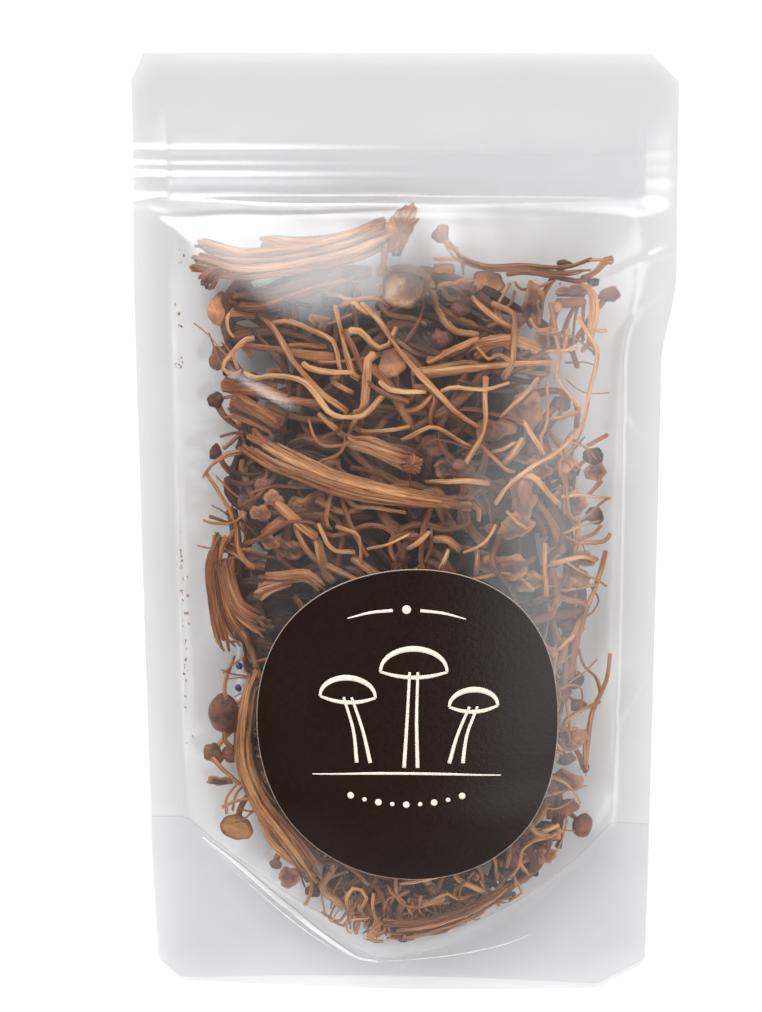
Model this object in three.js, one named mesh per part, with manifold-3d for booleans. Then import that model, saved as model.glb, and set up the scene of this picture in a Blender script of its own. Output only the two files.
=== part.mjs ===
// A clear stand-up zip pouch of dried enoki mushrooms, lying on its back.
// Millimetres, +Z up, +Y towards the pouch's mouth, origin under the middle of the pouch.

import * as THREE from 'three';
import { mergeVertices } from 'three/addons/utils/BufferGeometryUtils.js';
import Module from 'manifold-3d';

const wasm = await Module();
wasm.setup();

// ---- driving dimensions ----
const pouchWidth = 120;
const pouchHeight = 215;
const filmThickness = 0.5;
const gap = 0.3;
const sideSeal = 8;
const topEdge = pouchHeight / 2;
const bottomEdge = -pouchHeight / 2;
// edges shorter than this, and flatter slivers, are closed up after solids are joined
const shortEdge = 0.06;
const sliverHeight = 0.012;

// height of the seam where front and back film meet
const seamAtMouth = 2.4;
const seamRise = 6.1;
const seamFallAtBottom = 4;
// how far each film bulges away from the seam
const frontBulge = 16.5;
const backBulge = 10;
const bulgeTop = 76.5;
const bulgeTopRun = 78;
const bulgeBottomRun = 50;

// rounded bottom seal, the curve that the filling reaches down to
const gussetLowX = -6;
const gussetLowY = -99;
const gussetFoldRise = 3;
const gussetFoldLimit = -66;
const gussetOpening = 2.6;

// press-to-close zip
const zipBottom = 77;
const zipRibY = 80.5;
const zipTop = 86;
const zipHalfGap = 1.6;
const flangeThickness = 0.6;
const zipEndInset = 8.6;
const ribHalfWidth = 0.6;
const ribTip = -0.4;
const hookTip = 0.2;
const hookWidth = 0.8;

// corner cuts: width and height of each
const cornerCuts = [
  { side: -1, end: 1, width: 3, height: 6 },
  { side: 1, end: 1, width: 6, height: 6 },
  { side: -1, end: -1, width: 5, height: 4.5 },
  { side: 1, end: -1, width: 11, height: 6.5 },
];

// label sticker
const labelX = 1.7;
const labelY = -38.9;
const labelRadius = 35.5;
const labelSquareness = 0.55;
const labelLean = 0.5;
const labelTall = 1.3;
const labelThickness = 0.35;
const labelLift = 0.4;

// desiccant sachet
const sachetX = -22;
const sachetY = -28;
const sachetWidth = 32;
const sachetHeight = 46;
const sachetLift = 0.8;
const sachetEdge = 0.7;
const sachetSwell = 2.6;

// space kept between the filling and the film
const fillClearance = 0.9;
const fillLeft = -46;
const fillRight = 48;
const fillTop = 63;
const fillAboveSeal = 4;
const fillMiddleX = 2;
const fillMiddleLow = -62;
const fillMiddleHigh = 42;
// the core inside the tangle: its middle, half sizes, roundness and share of the height
const coreX = 1;
const coreY = -13;
const coreHalfWidth = 25;
const coreHalfHeight = 54;
const coreRoundness = 2.6;
const coreShare = 0.38;
const coreSwell = 0.08;
// roots end this far out from the core's middle
const rootReach = 0.85;
const stemRadius = 1.25;

// ---- small helpers ----
const clamp = (value, low, high) => Math.min(Math.max(value, low), high);
const mix = (a, b, t) => a + (b - a) * t;

function smooth(t) {
  const s = clamp(t, 0, 1);
  return s * s * (3 - 2 * s);
}

// a seeded draw from 0 to 1, the same on every run
function makeDraw(seed) {
  let state = seed;
  return () => {
    state = (state * 16807) % 2147483647;
    return state / 2147483647;
  };
}

// ---- the pouch's form ----
const leftEdge = (y) => -pouchWidth / 2 + 2.6 * (topEdge - y) / pouchHeight;
const rightEdge = (y) => pouchWidth / 2 - 2.9 * smooth((60 - y) / 20) - 0.5 * smooth((40 - y) / 147);

function gussetSeal(x) {
  const d = x - gussetLowX;
  const rise = d < 0 ? 28 * (-d / 41) ** 1.28 : 28.6 * (d / 51.6) ** 2.1;
  return Math.min(gussetLowY + rise, gussetFoldLimit - gussetFoldRise);
}

const gussetFold = (x) => Math.min(gussetSeal(x) + gussetFoldRise, gussetFoldLimit);
function seamHeight(y) {
  const risen = seamRise * smooth((98 - y) / 45);
  const fallen = seamFallAtBottom * smooth((-70 - y) / 37);
  return seamAtMouth + risen - fallen;
}

// 0 at the seals, 1 where the pouch is fullest
function bulge(x, y) {
  const a = leftEdge(y) + sideSeal;
  const b = rightEdge(y) - sideSeal;
  const u = clamp((2 * x - a - b) / (b - a), -1, 1);
  const across = (1 - Math.abs(u) ** 2.2) ** 0.7;
  const top = Math.sin(Math.PI / 2 * clamp((bulgeTop - y) / bulgeTopRun, 0, 1)) ** 0.62;
  const bottom = Math.sin(Math.PI / 2 * clamp((y - gussetSeal(x)) / bulgeBottomRun, 0, 1)) ** 0.6;
  return across * top * bottom;
}

// half the space between the films at the seams, wider for the gusset and for the zip
function halfGap(x, y) {
  const gussetLayers = 0.8 * smooth((-50 - y) / 12);
  const opening = gussetOpening * Math.max(0, 1 - (x / 46) ** 2) * smooth((-78 - y) / 20);
  const zipRise = smooth((y - zipBottom + 5) / 5) * smooth((zipTop + 5 - y) / 5);
  const zipAcross = smooth(Math.min(x - leftEdge(y), rightEdge(y) - x) / sideSeal);
  return gap / 2 + gussetLayers + opening + (zipHalfGap - gap / 2) * zipRise * zipAcross;
}

const frontInner = (x, y) => seamHeight(y) + halfGap(x, y) + frontBulge * bulge(x, y);
function backInner(x, y) {
  return Math.max(seamHeight(y) - halfGap(x, y) - backBulge * bulge(x, y), filmThickness);
}

// ---- meshes ----
function geometryFrom(positions, triangles) {
  const geometry = new THREE.BufferGeometry();
  geometry.setAttribute('position', new THREE.Float32BufferAttribute(positions, 3));
  geometry.setIndex(triangles);
  return geometry;
}

// a closed sheet between two grids of points, rows by columns, its upper grid facing out;
// from the row named turned its squares are split along their other diagonal
function sheet(rows, columns, upper, lower, turned = rows) {
  const positions = [];
  const triangles = [];
  const index = (layer, row, column) => (layer * rows + row) * columns + column;
  for (const layer of [upper, lower]) {
    for (let row = 0; row < rows; row++) {
      for (let column = 0; column < columns; column++) positions.push(...layer(row, column));
    }
  }
  const quad = (a, b, c, d) => triangles.push(a, b, c, a, c, d);
  for (let row = 0; row < rows - 1; row++) {
    for (let column = 0; column < columns - 1; column++) {
      const corners = [[row, column], [row, column + 1], [row + 1, column + 1], [row + 1, column]];
      const top = corners.map(([r, c]) => index(0, r, c));
      const under = corners.map(([r, c]) => index(1, r, c));
      const shift = row >= turned ? 1 : 0;
      const turn = (corner) => (corner + shift) % 4;
      quad(...[0, 1, 2, 3].map((corner) => top[turn(corner)]));
      quad(...[0, 3, 2, 1].map((corner) => under[turn(corner)]));
    }
  }
  for (let column = 0; column < columns - 1; column++) {
    quad(index(1, 0, column), index(1, 0, column + 1), index(0, 0, column + 1), index(0, 0, column));
    const last = rows - 1;
    const [lowLast, highLast] = [index(0, last, column), index(1, last, column)];
    quad(lowLast, index(0, last, column + 1), index(1, last, column + 1), highLast);
  }
  for (let row = 0; row < rows - 1; row++) {
    quad(index(0, row, 0), index(0, row + 1, 0), index(1, row + 1, 0), index(1, row, 0));
    const last = columns - 1;
    quad(index(1, row, last), index(1, row + 1, last), index(0, row + 1, last), index(0, row, last));
  }
  return geometryFrom(positions, triangles);
}

function solidOf(geometry) {
  const bare = geometry.clone();
  bare.deleteAttribute('normal');
  bare.deleteAttribute('uv');
  const welded = mergeVertices(bare, 1e-4);
  return new wasm.Manifold(new wasm.Mesh({
    numProp: 3,
    vertProperties: new Float32Array(welded.attributes.position.array),
    triVerts: new Uint32Array(welded.index.array),
  }));
}

// the largest connected body of a solid, without loose scraps or sealed hollows
function mainBody(solid) {
  const mesh = solid.getMesh();
  const owner = Array.from({ length: mesh.vertProperties.length / 3 }, (_, i) => i);
  const find = (i) => {
    while (owner[i] !== i) {
      owner[i] = owner[owner[i]];
      i = owner[i];
    }
    return i;
  };
  for (let t = 0; t < mesh.triVerts.length; t += 3) {
    owner[find(mesh.triVerts[t])] = find(mesh.triVerts[t + 1]);
    owner[find(mesh.triVerts[t + 1])] = find(mesh.triVerts[t + 2]);
  }
  const counts = new Map();
  for (const i of mesh.triVerts) counts.set(find(i), (counts.get(find(i)) ?? 0) + 1);
  const main = [...counts.entries()].sort((a, b) => b[1] - a[1])[0][0];
  const kept = [];
  for (let t = 0; t < mesh.triVerts.length; t += 3) {
    if (find(mesh.triVerts[t]) === main) kept.push(...mesh.triVerts.slice(t, t + 3));
  }
  return withoutSlivers(mergeVertices(geometryFrom(Array.from(mesh.vertProperties), kept), 1e-4));
}

// closes short edges and turns the long side of flat slivers, keeping the surface closed
function withoutSlivers(geometry) {
  const points = [];
  const position = geometry.attributes.position;
  for (let i = 0; i < position.count; i++) {
    points.push(new THREE.Vector3().fromBufferAttribute(position, i));
  }
  const index = geometry.index.array;
  const faces = [];
  for (let i = 0; i < index.length; i += 3) {
    faces.push([index[i], index[i + 1], index[i + 2]]);
  }
  const around = points.map(() => new Set());
  faces.forEach((face, i) => face.forEach((corner) => around[corner].add(i)));
  const neighbours = (corner) => {
    const corners = [...around[corner]].flatMap((i) => faces[i]);
    return new Set(corners.filter((other) => other !== corner));
  };
  const facing = (a, b, c) => {
    const side = new THREE.Vector3().subVectors(c, a);
    return new THREE.Vector3().subVectors(b, a).cross(side);
  };
  const faceHeight = (i, base) => facing(...faces[i].map((corner) => points[corner])).length() / base;
  const removeFace = (i) => {
    faces[i].forEach((corner) => around[corner].delete(i));
    faces[i] = null;
  };

  function closeEdge(keep, drop) {
    const shared = [...neighbours(keep)].filter((other) => neighbours(drop).has(other));
    if (shared.length !== 2) return false;
    const moved = [...around[drop]].filter((i) => !faces[i].includes(keep));
    const turns = moved.some((i) => {
      const before = facing(...faces[i].map((corner) => points[corner]));
      const after = facing(...faces[i].map((corner) => points[corner === drop ? keep : corner]));
      return before.dot(after) <= 0 && after.length() > 1e-6;
    });
    if (turns) return false;
    [...around[drop]].filter((i) => faces[i].includes(keep)).forEach(removeFace);
    for (const i of moved) {
      faces[i] = faces[i].map((corner) => (corner === drop ? keep : corner));
      around[keep].add(i);
    }
    around[drop].clear();
    return true;
  }

  function turnEdge(i, a, b, tip) {
    const other = [...around[a]].find((j) => j !== i && faces[j].includes(b));
    const far = faces[other].find((corner) => corner !== a && corner !== b);
    if (neighbours(tip).has(far)) return false;
    removeFace(i);
    removeFace(other);
    [[i, [tip, a, far]], [other, [tip, far, b]]].forEach(([j, face]) => {
      faces[j] = face;
      face.forEach((corner) => around[corner].add(j));
    });
    return true;
  }

  for (let pass = 0; pass < 12; pass++) {
    let changes = 0;
    for (let i = 0; i < faces.length; i++) {
      if (!faces[i]) continue;
      const sides = [0, 1, 2].map((k) => [faces[i][k], faces[i][(k + 1) % 3], faces[i][(k + 2) % 3]]);
      const length = ([a, b]) => points[a].distanceTo(points[b]);
      sides.sort((p, q) => length(p) - length(q));
      const [shortest, , longest] = sides;
      if (length(shortest) < shortEdge) {
        if (closeEdge(shortest[0], shortest[1]) || closeEdge(shortest[1], shortest[0])) changes++;
      } else if (faceHeight(i, length(longest)) < sliverHeight) {
        if (turnEdge(i, ...longest)) changes++;
      }
    }
    if (!changes) break;
  }
  const vertices = points.flatMap((point) => point.toArray());
  return mergeVertices(geometryFrom(vertices, faces.filter(Boolean).flat()), 1e-4);
}

const joined = (solids) => solids.reduce((whole, solid) => whole.add(solid));

// ---- films ----
const columnShares = [0, 0.068, 0.09, 0.14, 0.22, 0.34, 0.47, 0.6, 0.73, 0.83, 0.89, 0.932, 1];
const straightRows = [
  -50, -36, -18, 2, 20, 36, 50, 60, 68, 74, zipBottom, zipRibY, zipTop, 92, topEdge,
];
const rowsToStraight = 5;
const gussetRows = 4;

// y of a film row: along the bottom, the rounded seal and the fold, and straight above them
function rowHeight(row, x) {
  const lower = [bottomEdge, mix(bottomEdge, gussetSeal(x), 0.5), gussetSeal(x), gussetFold(x)];
  if (row < gussetRows) return lower[row];
  const step = row - gussetRows + 1;
  if (step < rowsToStraight) return mix(gussetFold(x), straightRows[0], step / rowsToStraight);
  return straightRows[step - rowsToStraight];
}

const filmRows = gussetRows + rowsToStraight - 1 + straightRows.length;

function gridPoint(row, column) {
  const share = columnShares[column];
  const roughX = mix(leftEdge(-60), rightEdge(-60), share);
  const y = rowHeight(row, roughX);
  return [mix(leftEdge(y), rightEdge(y), share), y];
}

const cornerWedges = cornerCuts.map(({ side, end, width, height }) => {
  const margin = 4;
  const y = end > 0 ? topEdge : bottomEdge;
  const x = side > 0 ? rightEdge(y) : leftEdge(y);
  const run = margin * width / height;
  const rise = margin * height / width;
  const outline = new THREE.Shape([
    new THREE.Vector2(x - side * (width + run), y + end * margin),
    new THREE.Vector2(x + side * margin, y - end * (height + rise)),
    new THREE.Vector2(x + side * 2 * margin, y + end * 2 * margin),
  ]);
  const wedge = new THREE.ExtrudeGeometry(outline, { depth: 40, bevelEnabled: false });
  wedge.translate(0, 0, -10);
  return solidOf(wedge);
});

function withCutCorners(geometry) {
  return mainBody(cornerWedges.reduce((film, wedge) => film.subtract(wedge), solidOf(geometry)));
}

function makeFrontFilm() {
  const at = (lift) => (row, column) => {
    const [x, y] = gridPoint(row, column);
    return [x, y, frontInner(x, y) + lift];
  };
  return withCutCorners(sheet(filmRows, columnShares.length, at(filmThickness), at(0)));
}

function makeBackFilm() {
  const at = (lift) => (row, column) => {
    const [x, y] = gridPoint(row, column);
    return [x, y, backInner(x, y) + lift];
  };
  return withCutCorners(sheet(filmRows, columnShares.length, at(0), at(-filmThickness)));
}

// the folded bottom film: up the front film's inside, over the fold and down the back film's
function makeGusset() {
  const legRows = gussetRows - 1;
  const rows = 2 * legRows + 1;
  const at = (depth) => (row, column) => {
    const onFront = row < legRows;
    const filmRow = onFront ? row : rows - 1 - row;
    const [x, y] = gridPoint(filmRow, column);
    if (row === legRows) return [x, y - depth, (frontInner(x, y) + backInner(x, y)) / 2];
    const inward = gap + depth;
    return [x, y, onFront ? frontInner(x, y) - inward : backInner(x, y) + inward];
  };
  return withCutCorners(sheet(rows, columnShares.length, at(0), at(filmThickness), legRows));
}

// ---- zip: each strip is one section drawn along x ----
function makeZipStrip(section) {
  const start = leftEdge(zipRibY) + zipEndInset;
  const length = rightEdge(zipRibY) - zipEndInset - start;
  const outline = new THREE.Shape(section.map(([y, z]) => new THREE.Vector2(y, z + seamHeight(y))));
  const strip = new THREE.ExtrudeGeometry(outline, { depth: length, bevelEnabled: false });
  // the section's axes (y, z, along) become (+Y, +Z, +X)
  strip.applyMatrix4(new THREE.Matrix4().set(0, 0, 1, start, 1, 0, 0, 0, 0, 1, 0, 0, 0, 0, 0, 1));
  return mainBody(solidOf(strip));
}

const flangeFace = zipHalfGap - gap;
const flangeInside = flangeFace - flangeThickness;

function makeRibStrip() {
  return makeZipStrip([
    [zipBottom, flangeFace], [zipBottom, flangeInside],
    [zipRibY - ribHalfWidth, flangeInside], [zipRibY - ribHalfWidth, ribTip],
    [zipRibY + ribHalfWidth, ribTip], [zipRibY + ribHalfWidth, flangeInside],
    [zipTop, flangeInside], [zipTop, flangeFace], [zipRibY, flangeFace],
  ]);
}

function makeGrooveStrip() {
  const near = ribHalfWidth + gap;
  const far = near + hookWidth;
  return makeZipStrip([
    [zipBottom, -flangeFace], [zipRibY, -flangeFace], [zipTop, -flangeFace], [zipTop, -flangeInside],
    [zipRibY + far, -flangeInside], [zipRibY + far, hookTip], [zipRibY + near, hookTip],
    [zipRibY + near, -flangeInside], [zipRibY - near, -flangeInside], [zipRibY - near, hookTip],
    [zipRibY - far, hookTip], [zipRibY - far, -flangeInside], [zipBottom, -flangeInside],
  ]);
}

// ---- label: a soft rounded square laid on the front film ----
function labelEdge(angle) {
  const square = labelSquareness * Math.cos(4 * angle);
  const lean = labelLean * (Math.cos(angle) - Math.cos(3 * angle));
  return labelRadius - square + lean - labelTall * Math.cos(2 * angle);
}

function makeLabel() {
  const sides = 24;
  const rings = 4;
  const face = (lift) => (ring, side) => {
    const angle = -2 * Math.PI * side / sides;
    const radius = Math.max(ring / rings, 1e-3) * labelEdge(angle);
    const x = labelX + radius * Math.cos(angle);
    const y = labelY + radius * Math.sin(angle);
    return [x, y, frontInner(x, y) + filmThickness + labelLift + lift];
  };
  return disc(rings, sides, face(labelThickness), face(0));
}

// a closed disc between two faces given as rings of points about a shared middle
function disc(rings, sides, upper, lower) {
  const positions = [];
  const triangles = [];
  const middle = (layer) => layer * (rings * sides + 1);
  const index = (layer, ring, side) => middle(layer) + 1 + (ring - 1) * sides + (side % sides);
  for (const face of [upper, lower]) {
    positions.push(...face(0, 0));
    for (let ring = 1; ring <= rings; ring++) {
      for (let side = 0; side < sides; side++) positions.push(...face(ring, side));
    }
  }
  for (let side = 0; side < sides; side++) {
    triangles.push(middle(0), index(0, 1, side + 1), index(0, 1, side));
    triangles.push(middle(1), index(1, 1, side), index(1, 1, side + 1));
    for (let ring = 1; ring < rings; ring++) {
      const a = index(0, ring, side);
      const b = index(0, ring, side + 1);
      const c = index(0, ring + 1, side + 1);
      const d = index(0, ring + 1, side);
      triangles.push(a, b, c, a, c, d);
      const shift = middle(1);
      triangles.push(a + shift, c + shift, b + shift, a + shift, d + shift, c + shift);
    }
    const upperA = index(0, rings, side);
    const upperB = index(0, rings, side + 1);
    const lowerA = index(1, rings, side);
    const lowerB = index(1, rings, side + 1);
    triangles.push(upperA, upperB, lowerB, upperA, lowerB, lowerA);
  }
  return geometryFrom(positions, triangles);
}

// ---- desiccant sachet: a small pillow lying on the back film ----
function sachetShape(x, y) {
  const u = 2 * Math.abs(x - sachetX) / sachetWidth;
  const v = 2 * Math.abs(y - sachetY) / sachetHeight;
  return Math.max(0, (1 - u ** 4) * (1 - v ** 4)) ** 0.5;
}

const sachetTop = (x, y) => backInner(x, y) + sachetLift + sachetEdge + sachetSwell * sachetShape(x, y);

function makeSachet() {
  const steps = 7;
  const at = (height) => (row, column) => {
    const x = sachetX + sachetWidth * (column / (steps - 1) - 0.5);
    const y = sachetY + sachetHeight * (row / (steps - 1) - 0.5);
    return [x, y, height(x, y)];
  };
  return sheet(steps, steps, at(sachetTop), at((x, y) => backInner(x, y) + sachetLift));
}

// ---- bundles: strands that grew or dried together ----
// path: points [x, y]; width and height of the bundle; share: 0 on the back film, 1 on the front film
const bundles = [
  {
    name: 'bundle_top_left', share: 0.5, seed: 11, strands: 5, radius: 1.5, splay: 0.35,
    path: [[-44, 63.5], [-33, 62], [-20, 63.5], [-9, 66], [0, 68.5]], width: 7.5, height: 2.4,
    second: {
      path: [[-37, 54], [-29, 55], [-18, 57.5], [-9, 59.5]], width: 4, height: 1.6, strands: 3,
    },
  },
  {
    name: 'bundle_top_right', share: 0.6, seed: 23, strands: 3, radius: 1, splay: 1.4,
    path: [[10, 67.5], [14, 63.5], [19, 61.5], [27, 61.5], [35, 62], [42, 62.5]],
    width: 2.2, height: 1.2,
    cap: { x: 8.5, y: 68.5, radius: 2.1, facing: [-0.6, 0.3, 1] },
  },
  {
    name: 'bundle_centre', share: 1, seed: 37, strands: 6, radius: 1.6, splay: -0.4,
    path: [[-33, 23], [-28, 20.5], [-19, 17], [-9, 14], [3, 12], [17, 10.5]], width: 7.4, height: 3,
  },
  {
    name: 'bundle_left_fan', share: 1, seed: 41, strands: 5, radius: 1.3, splay: 1.1,
    path: [[-40.5, 2], [-42, -6], [-41, -14], [-39, -20], [-35.5, -25]], width: 4.4, height: 2,
  },
  {
    name: 'bundle_fork', share: 1, seed: 53, strands: 4, radius: 1.25, splay: 1.3,
    path: [[-32.5, -10], [-27, -7.5], [-21, -7], [-15, -8.5]], width: 3.6, height: 1.8,
  },
  {
    name: 'bundle_lower_left', share: 1, seed: 67, strands: 5, radius: 1.4, splay: 0.3,
    path: [[-33, -32], [-35, -43], [-35, -53], [-32, -61], [-28, -69], [-23.5, -76], [-18, -82]],
    width: 5, height: 2.2,
  },
  {
    name: 'bundle_bottom', share: 1, seed: 79, strands: 4, radius: 1.2, splay: 0.6,
    path: [[-2, -88], [8, -87], [18, -84], [27, -78]], width: 4, height: 1.8,
  },
];

function curveThrough(points) {
  return new THREE.CatmullRomCurve3(points.map(([x, y, z = 0]) => new THREE.Vector3(x, y, z)));
}

// lowest and highest centre of a thing of this half height and reach between the films
const around = (x, y, reach) => [[x, y], [x - reach, y], [x + reach, y], [x, y - reach], [x, y + reach]];

function lowestCentre(x, y, half, reach = half) {
  return Math.max(...around(x, y, reach).map(([a, b]) => backInner(a, b))) + fillClearance + half;
}

function highestCentre(x, y, half, reach = half) {
  return Math.min(...around(x, y, reach).map(([a, b]) => frontInner(a, b))) - fillClearance - half;
}

// draws a point back inside the filling's outline, to where a thing of this radius has room
function keepInside(x, y, radius = stemRadius) {
  const insideX = clamp(x, fillLeft, fillRight);
  const insideY = Math.max(Math.min(y, fillTop), gussetSeal(insideX) + fillAboveSeal);
  return drawInto(insideX, insideY, radius);
}

function drawInto(x, y, radius) {
  let [insideX, insideY] = [x, y];
  for (let step = 0; step < 40; step++) {
    if (highestCentre(insideX, insideY, radius) - lowestCentre(insideX, insideY, radius) > 0.2) break;
    insideX = mix(insideX, fillMiddleX, 0.03);
    insideY = mix(insideY, clamp(insideY, fillMiddleLow, fillMiddleHigh), 0.03);
  }
  return [insideX, insideY];
}

function bundleHeight(bundle, height, x, y) {
  const half = height / 2 + bundle.radius;
  const low = lowestCentre(x, y, half, bundle.radius);
  const high = highestCentre(x, y, half, bundle.radius);
  return low < high ? mix(low, high, bundle.share) : (low + high) / 2;
}

// the underside that looser stems keep below, as points down the middle of each bundle
const undersides = [];

// how far the strands part: 1 along most of the bundle, more or less towards its far end
const spreadAt = (bundle, t) => 1 + bundle.splay * smooth((t - 0.5) / 0.5);

function addUndersides(bundle, part) {
  const curve = curveThrough(part.path);
  const steps = Math.ceil(curve.getLength());
  for (let i = 0; i <= steps; i++) {
    const t = i / steps;
    const { x, y } = curve.getPoint(t);
    const reach = part.width / 2 * spreadAt(bundle, t) + bundle.radius;
    const middle = bundleHeight(bundle, part.height, x, y);
    undersides.push({ x, y, reach, z: middle - part.height / 2 - bundle.radius });
  }
}

function tube(points, radiusAt, sides, stepLength = 5.5) {
  const curve = curveThrough(points);
  const steps = Math.max(3, Math.round(curve.getLength() / stepLength));
  const positions = [];
  const triangles = [];
  const up = new THREE.Vector3(0, 0, 1);
  for (let i = 0; i <= steps; i++) {
    const centre = curve.getPoint(i / steps);
    const along = curve.getTangent(i / steps);
    const across = new THREE.Vector3().crossVectors(along, up).normalize();
    const over = new THREE.Vector3().crossVectors(across, along).normalize();
    const radius = radiusAt(i / steps);
    for (let side = 0; side < sides; side++) {
      const angle = 2 * Math.PI * (side + 0.5) / sides;
      const offset = across.clone().multiplyScalar(radius * Math.cos(angle));
      offset.addScaledVector(over, radius * Math.sin(angle));
      positions.push(...centre.clone().add(offset).toArray());
    }
  }
  for (let i = 0; i < steps; i++) {
    for (let side = 0; side < sides; side++) {
      const a = i * sides + side;
      const b = i * sides + (side + 1) % sides;
      triangles.push(a, b + sides, b, a, a + sides, b + sides);
    }
  }
  const last = steps * sides;
  for (let side = 1; side < sides - 1; side++) {
    triangles.push(0, side, side + 1);
    triangles.push(last, last + side + 1, last + side);
  }
  return geometryFrom(positions, triangles);
}

// a small domed cap standing on its stem, facing along a direction
function capSolid(centre, direction, radius) {
  const profile = [[0, 0.12], [0.98, 0], [0.8, 0.62], [0, 0.95]];
  const points = profile.map(([r, h]) => new THREE.Vector2(r * radius, h * radius));
  const cap = new THREE.LatheGeometry(points, 6);
  const facing = new THREE.Vector3(...direction).normalize();
  const turn = new THREE.Quaternion().setFromUnitVectors(new THREE.Vector3(0, 1, 0), facing);
  cap.applyQuaternion(turn);
  cap.translate(...centre);
  return solidOf(cap);
}

// the strands of one bundle: side by side in two rows, wandering a little and parting at the far end
function strandPoints(bundle, part, strand, draw) {
  const count = part.strands ?? bundle.strands;
  const seat = count > 1 ? 2 * strand / (count - 1) - 1 : 0;
  const level = strand % 2 === 0 ? 0.42 : -0.42;
  const start = 0.1 * draw();
  const end = 1 - 0.16 * draw();
  const drift = 0.5 * (draw() - 0.5);
  const phase = 2 * Math.PI * draw();
  const curve = curveThrough(part.path);
  const points = [];
  const steps = 7;
  for (let i = 0; i <= steps; i++) {
    const t = mix(start, end, i / steps);
    const centre = curve.getPoint(t);
    const along = curve.getTangent(t);
    const side = part.width / 2 * spreadAt(bundle, t) * seat + drift * Math.sin(phase + 6 * t);
    const [x, y] = drawInto(centre.x - along.y * side, centre.y + along.x * side, bundle.radius);
    const raised = level * part.height * (1 - seat * seat);
    const z = bundleHeight(bundle, part.height, centre.x, centre.y) + raised;
    const [lowest, highest] = [lowestCentre(x, y, bundle.radius), highestCentre(x, y, bundle.radius)];
    points.push([x, y, clamp(z, lowest, highest)]);
  }
  return points;
}

function makeBundle(bundle) {
  const draw = makeDraw(bundle.seed);
  const solids = [];
  const parts = bundle.second ? [bundle, bundle.second] : [bundle];
  for (const part of parts) {
    const count = part.strands ?? bundle.strands;
    for (let strand = 0; strand < count; strand++) {
      const points = strandPoints(bundle, part, strand, draw);
      const taper = (t) => bundle.radius * (1.1 - 0.3 * t);
      solids.push(solidOf(tube(points, taper, 4, 9)));
    }
  }
  const linkBetween = (ends) => solidOf(tube(ends, () => bundle.radius, 4, 8));
  if (bundle.cap) {
    const { x, y, radius, facing } = bundle.cap;
    const z = bundleHeight(bundle, 0, x, y);
    solids.push(capSolid([x, y, z - 0.3 * radius], facing, radius));
    const root = strandPoints(bundle, bundle, 1, makeDraw(bundle.seed))[2];
    solids.push(linkBetween([[x, y, z], root]));
  }
  if (bundle.second) {
    const ends = [bundle.path[1], bundle.second.path[1]];
    solids.push(linkBetween(ends.map(([x, y]) => [x, y, bundleHeight(bundle, bundle.height, x, y)])));
  }
  return mainBody(joined(solids));
}

// ---- the large curled cap, a bowl turned towards the front film ----
const curledCap = { x: 2, y: 58, radius: 4.5, depth: 3, wall: 1 };

function makeCurledCap() {
  const { x, y, radius, depth, wall } = curledCap;
  const z = frontInner(x, y) - fillClearance - depth - 1.2;
  const outline = [
    [0, 0], [radius * 0.62, 0.15 * depth], [radius, 0.7 * depth], [radius * 0.96, depth],
    [radius * 0.8, depth], [radius * 0.72, 0.75 * depth],
    [radius * 0.4, 0.3 * depth + wall * 0.3], [0, wall * 0.9],
  ];
  const bowl = new THREE.LatheGeometry(outline.map(([r, h]) => new THREE.Vector2(r, h)), 14);
  bowl.rotateX(Math.PI / 2);
  bowl.rotateX(THREE.MathUtils.degToRad(-8));
  bowl.translate(x, y, z);
  undersides.push({ x, y, reach: radius + 0.5, z: z - 1 });
  return mainBody(solidOf(bowl));
}

// ---- the tangle: loose stems and caps round a smaller core ----
// how far up a stem of this radius may lie, and how far down
function ceilingAt(x, y, radius, reach = radius) {
  let ceiling = highestCentre(x, y, radius, reach);
  for (const under of undersides) {
    const beyond = Math.max(0, Math.hypot(x - under.x, y - under.y) - under.reach - reach - 1.6);
    ceiling = Math.min(ceiling, under.z - radius - 1.1 + 1.6 * beyond);
  }
  return ceiling;
}

function floorAt(x, y, radius) {
  const reachX = Math.max(0, Math.abs(x - sachetX) - sachetWidth / 2 - radius - 1);
  const reachY = Math.max(0, Math.abs(y - sachetY) - sachetHeight / 2 - radius - 1);
  const beyond = Math.hypot(reachX, reachY);
  const sachetTop = backInner(sachetX, y) + sachetLift + sachetEdge + sachetSwell;
  const sachet = sachetTop + 1.2 + radius - 0.9 * beyond;
  const bowed = sachet + Math.max(0, backInner(x, y) - backInner(sachetX, y));
  return Math.max(lowestCentre(x, y, radius), beyond < 8 ? bowed : 0);
}

function layerHeight(x, y, share, radius) {
  const low = floorAt(x, y, radius);
  const high = Math.max(low, ceilingAt(x, y, radius));
  return mix(low, high, clamp(share, 0, 1));
}

function makeCore() {
  const rings = 3;
  const sides = 14;
  const face = (swell) => (ring, side) => {
    const angle = -2 * Math.PI * side / sides;
    const out = Math.max(ring / rings, 1e-3);
    const corner = (wave) => Math.sign(wave) * Math.abs(wave) ** (2 / coreRoundness);
    const x = coreX + coreHalfWidth * out * corner(Math.cos(angle));
    const y = coreY + coreHalfHeight * out * corner(Math.sin(angle));
    const rim = 1 - 0.75 * out ** 4;
    return [x, y, layerHeight(x, y, coreShare + swell * rim, stemRadius)];
  };
  return solidOf(disc(rings, sides, face(coreSwell), face(-coreSwell)));
}

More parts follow.
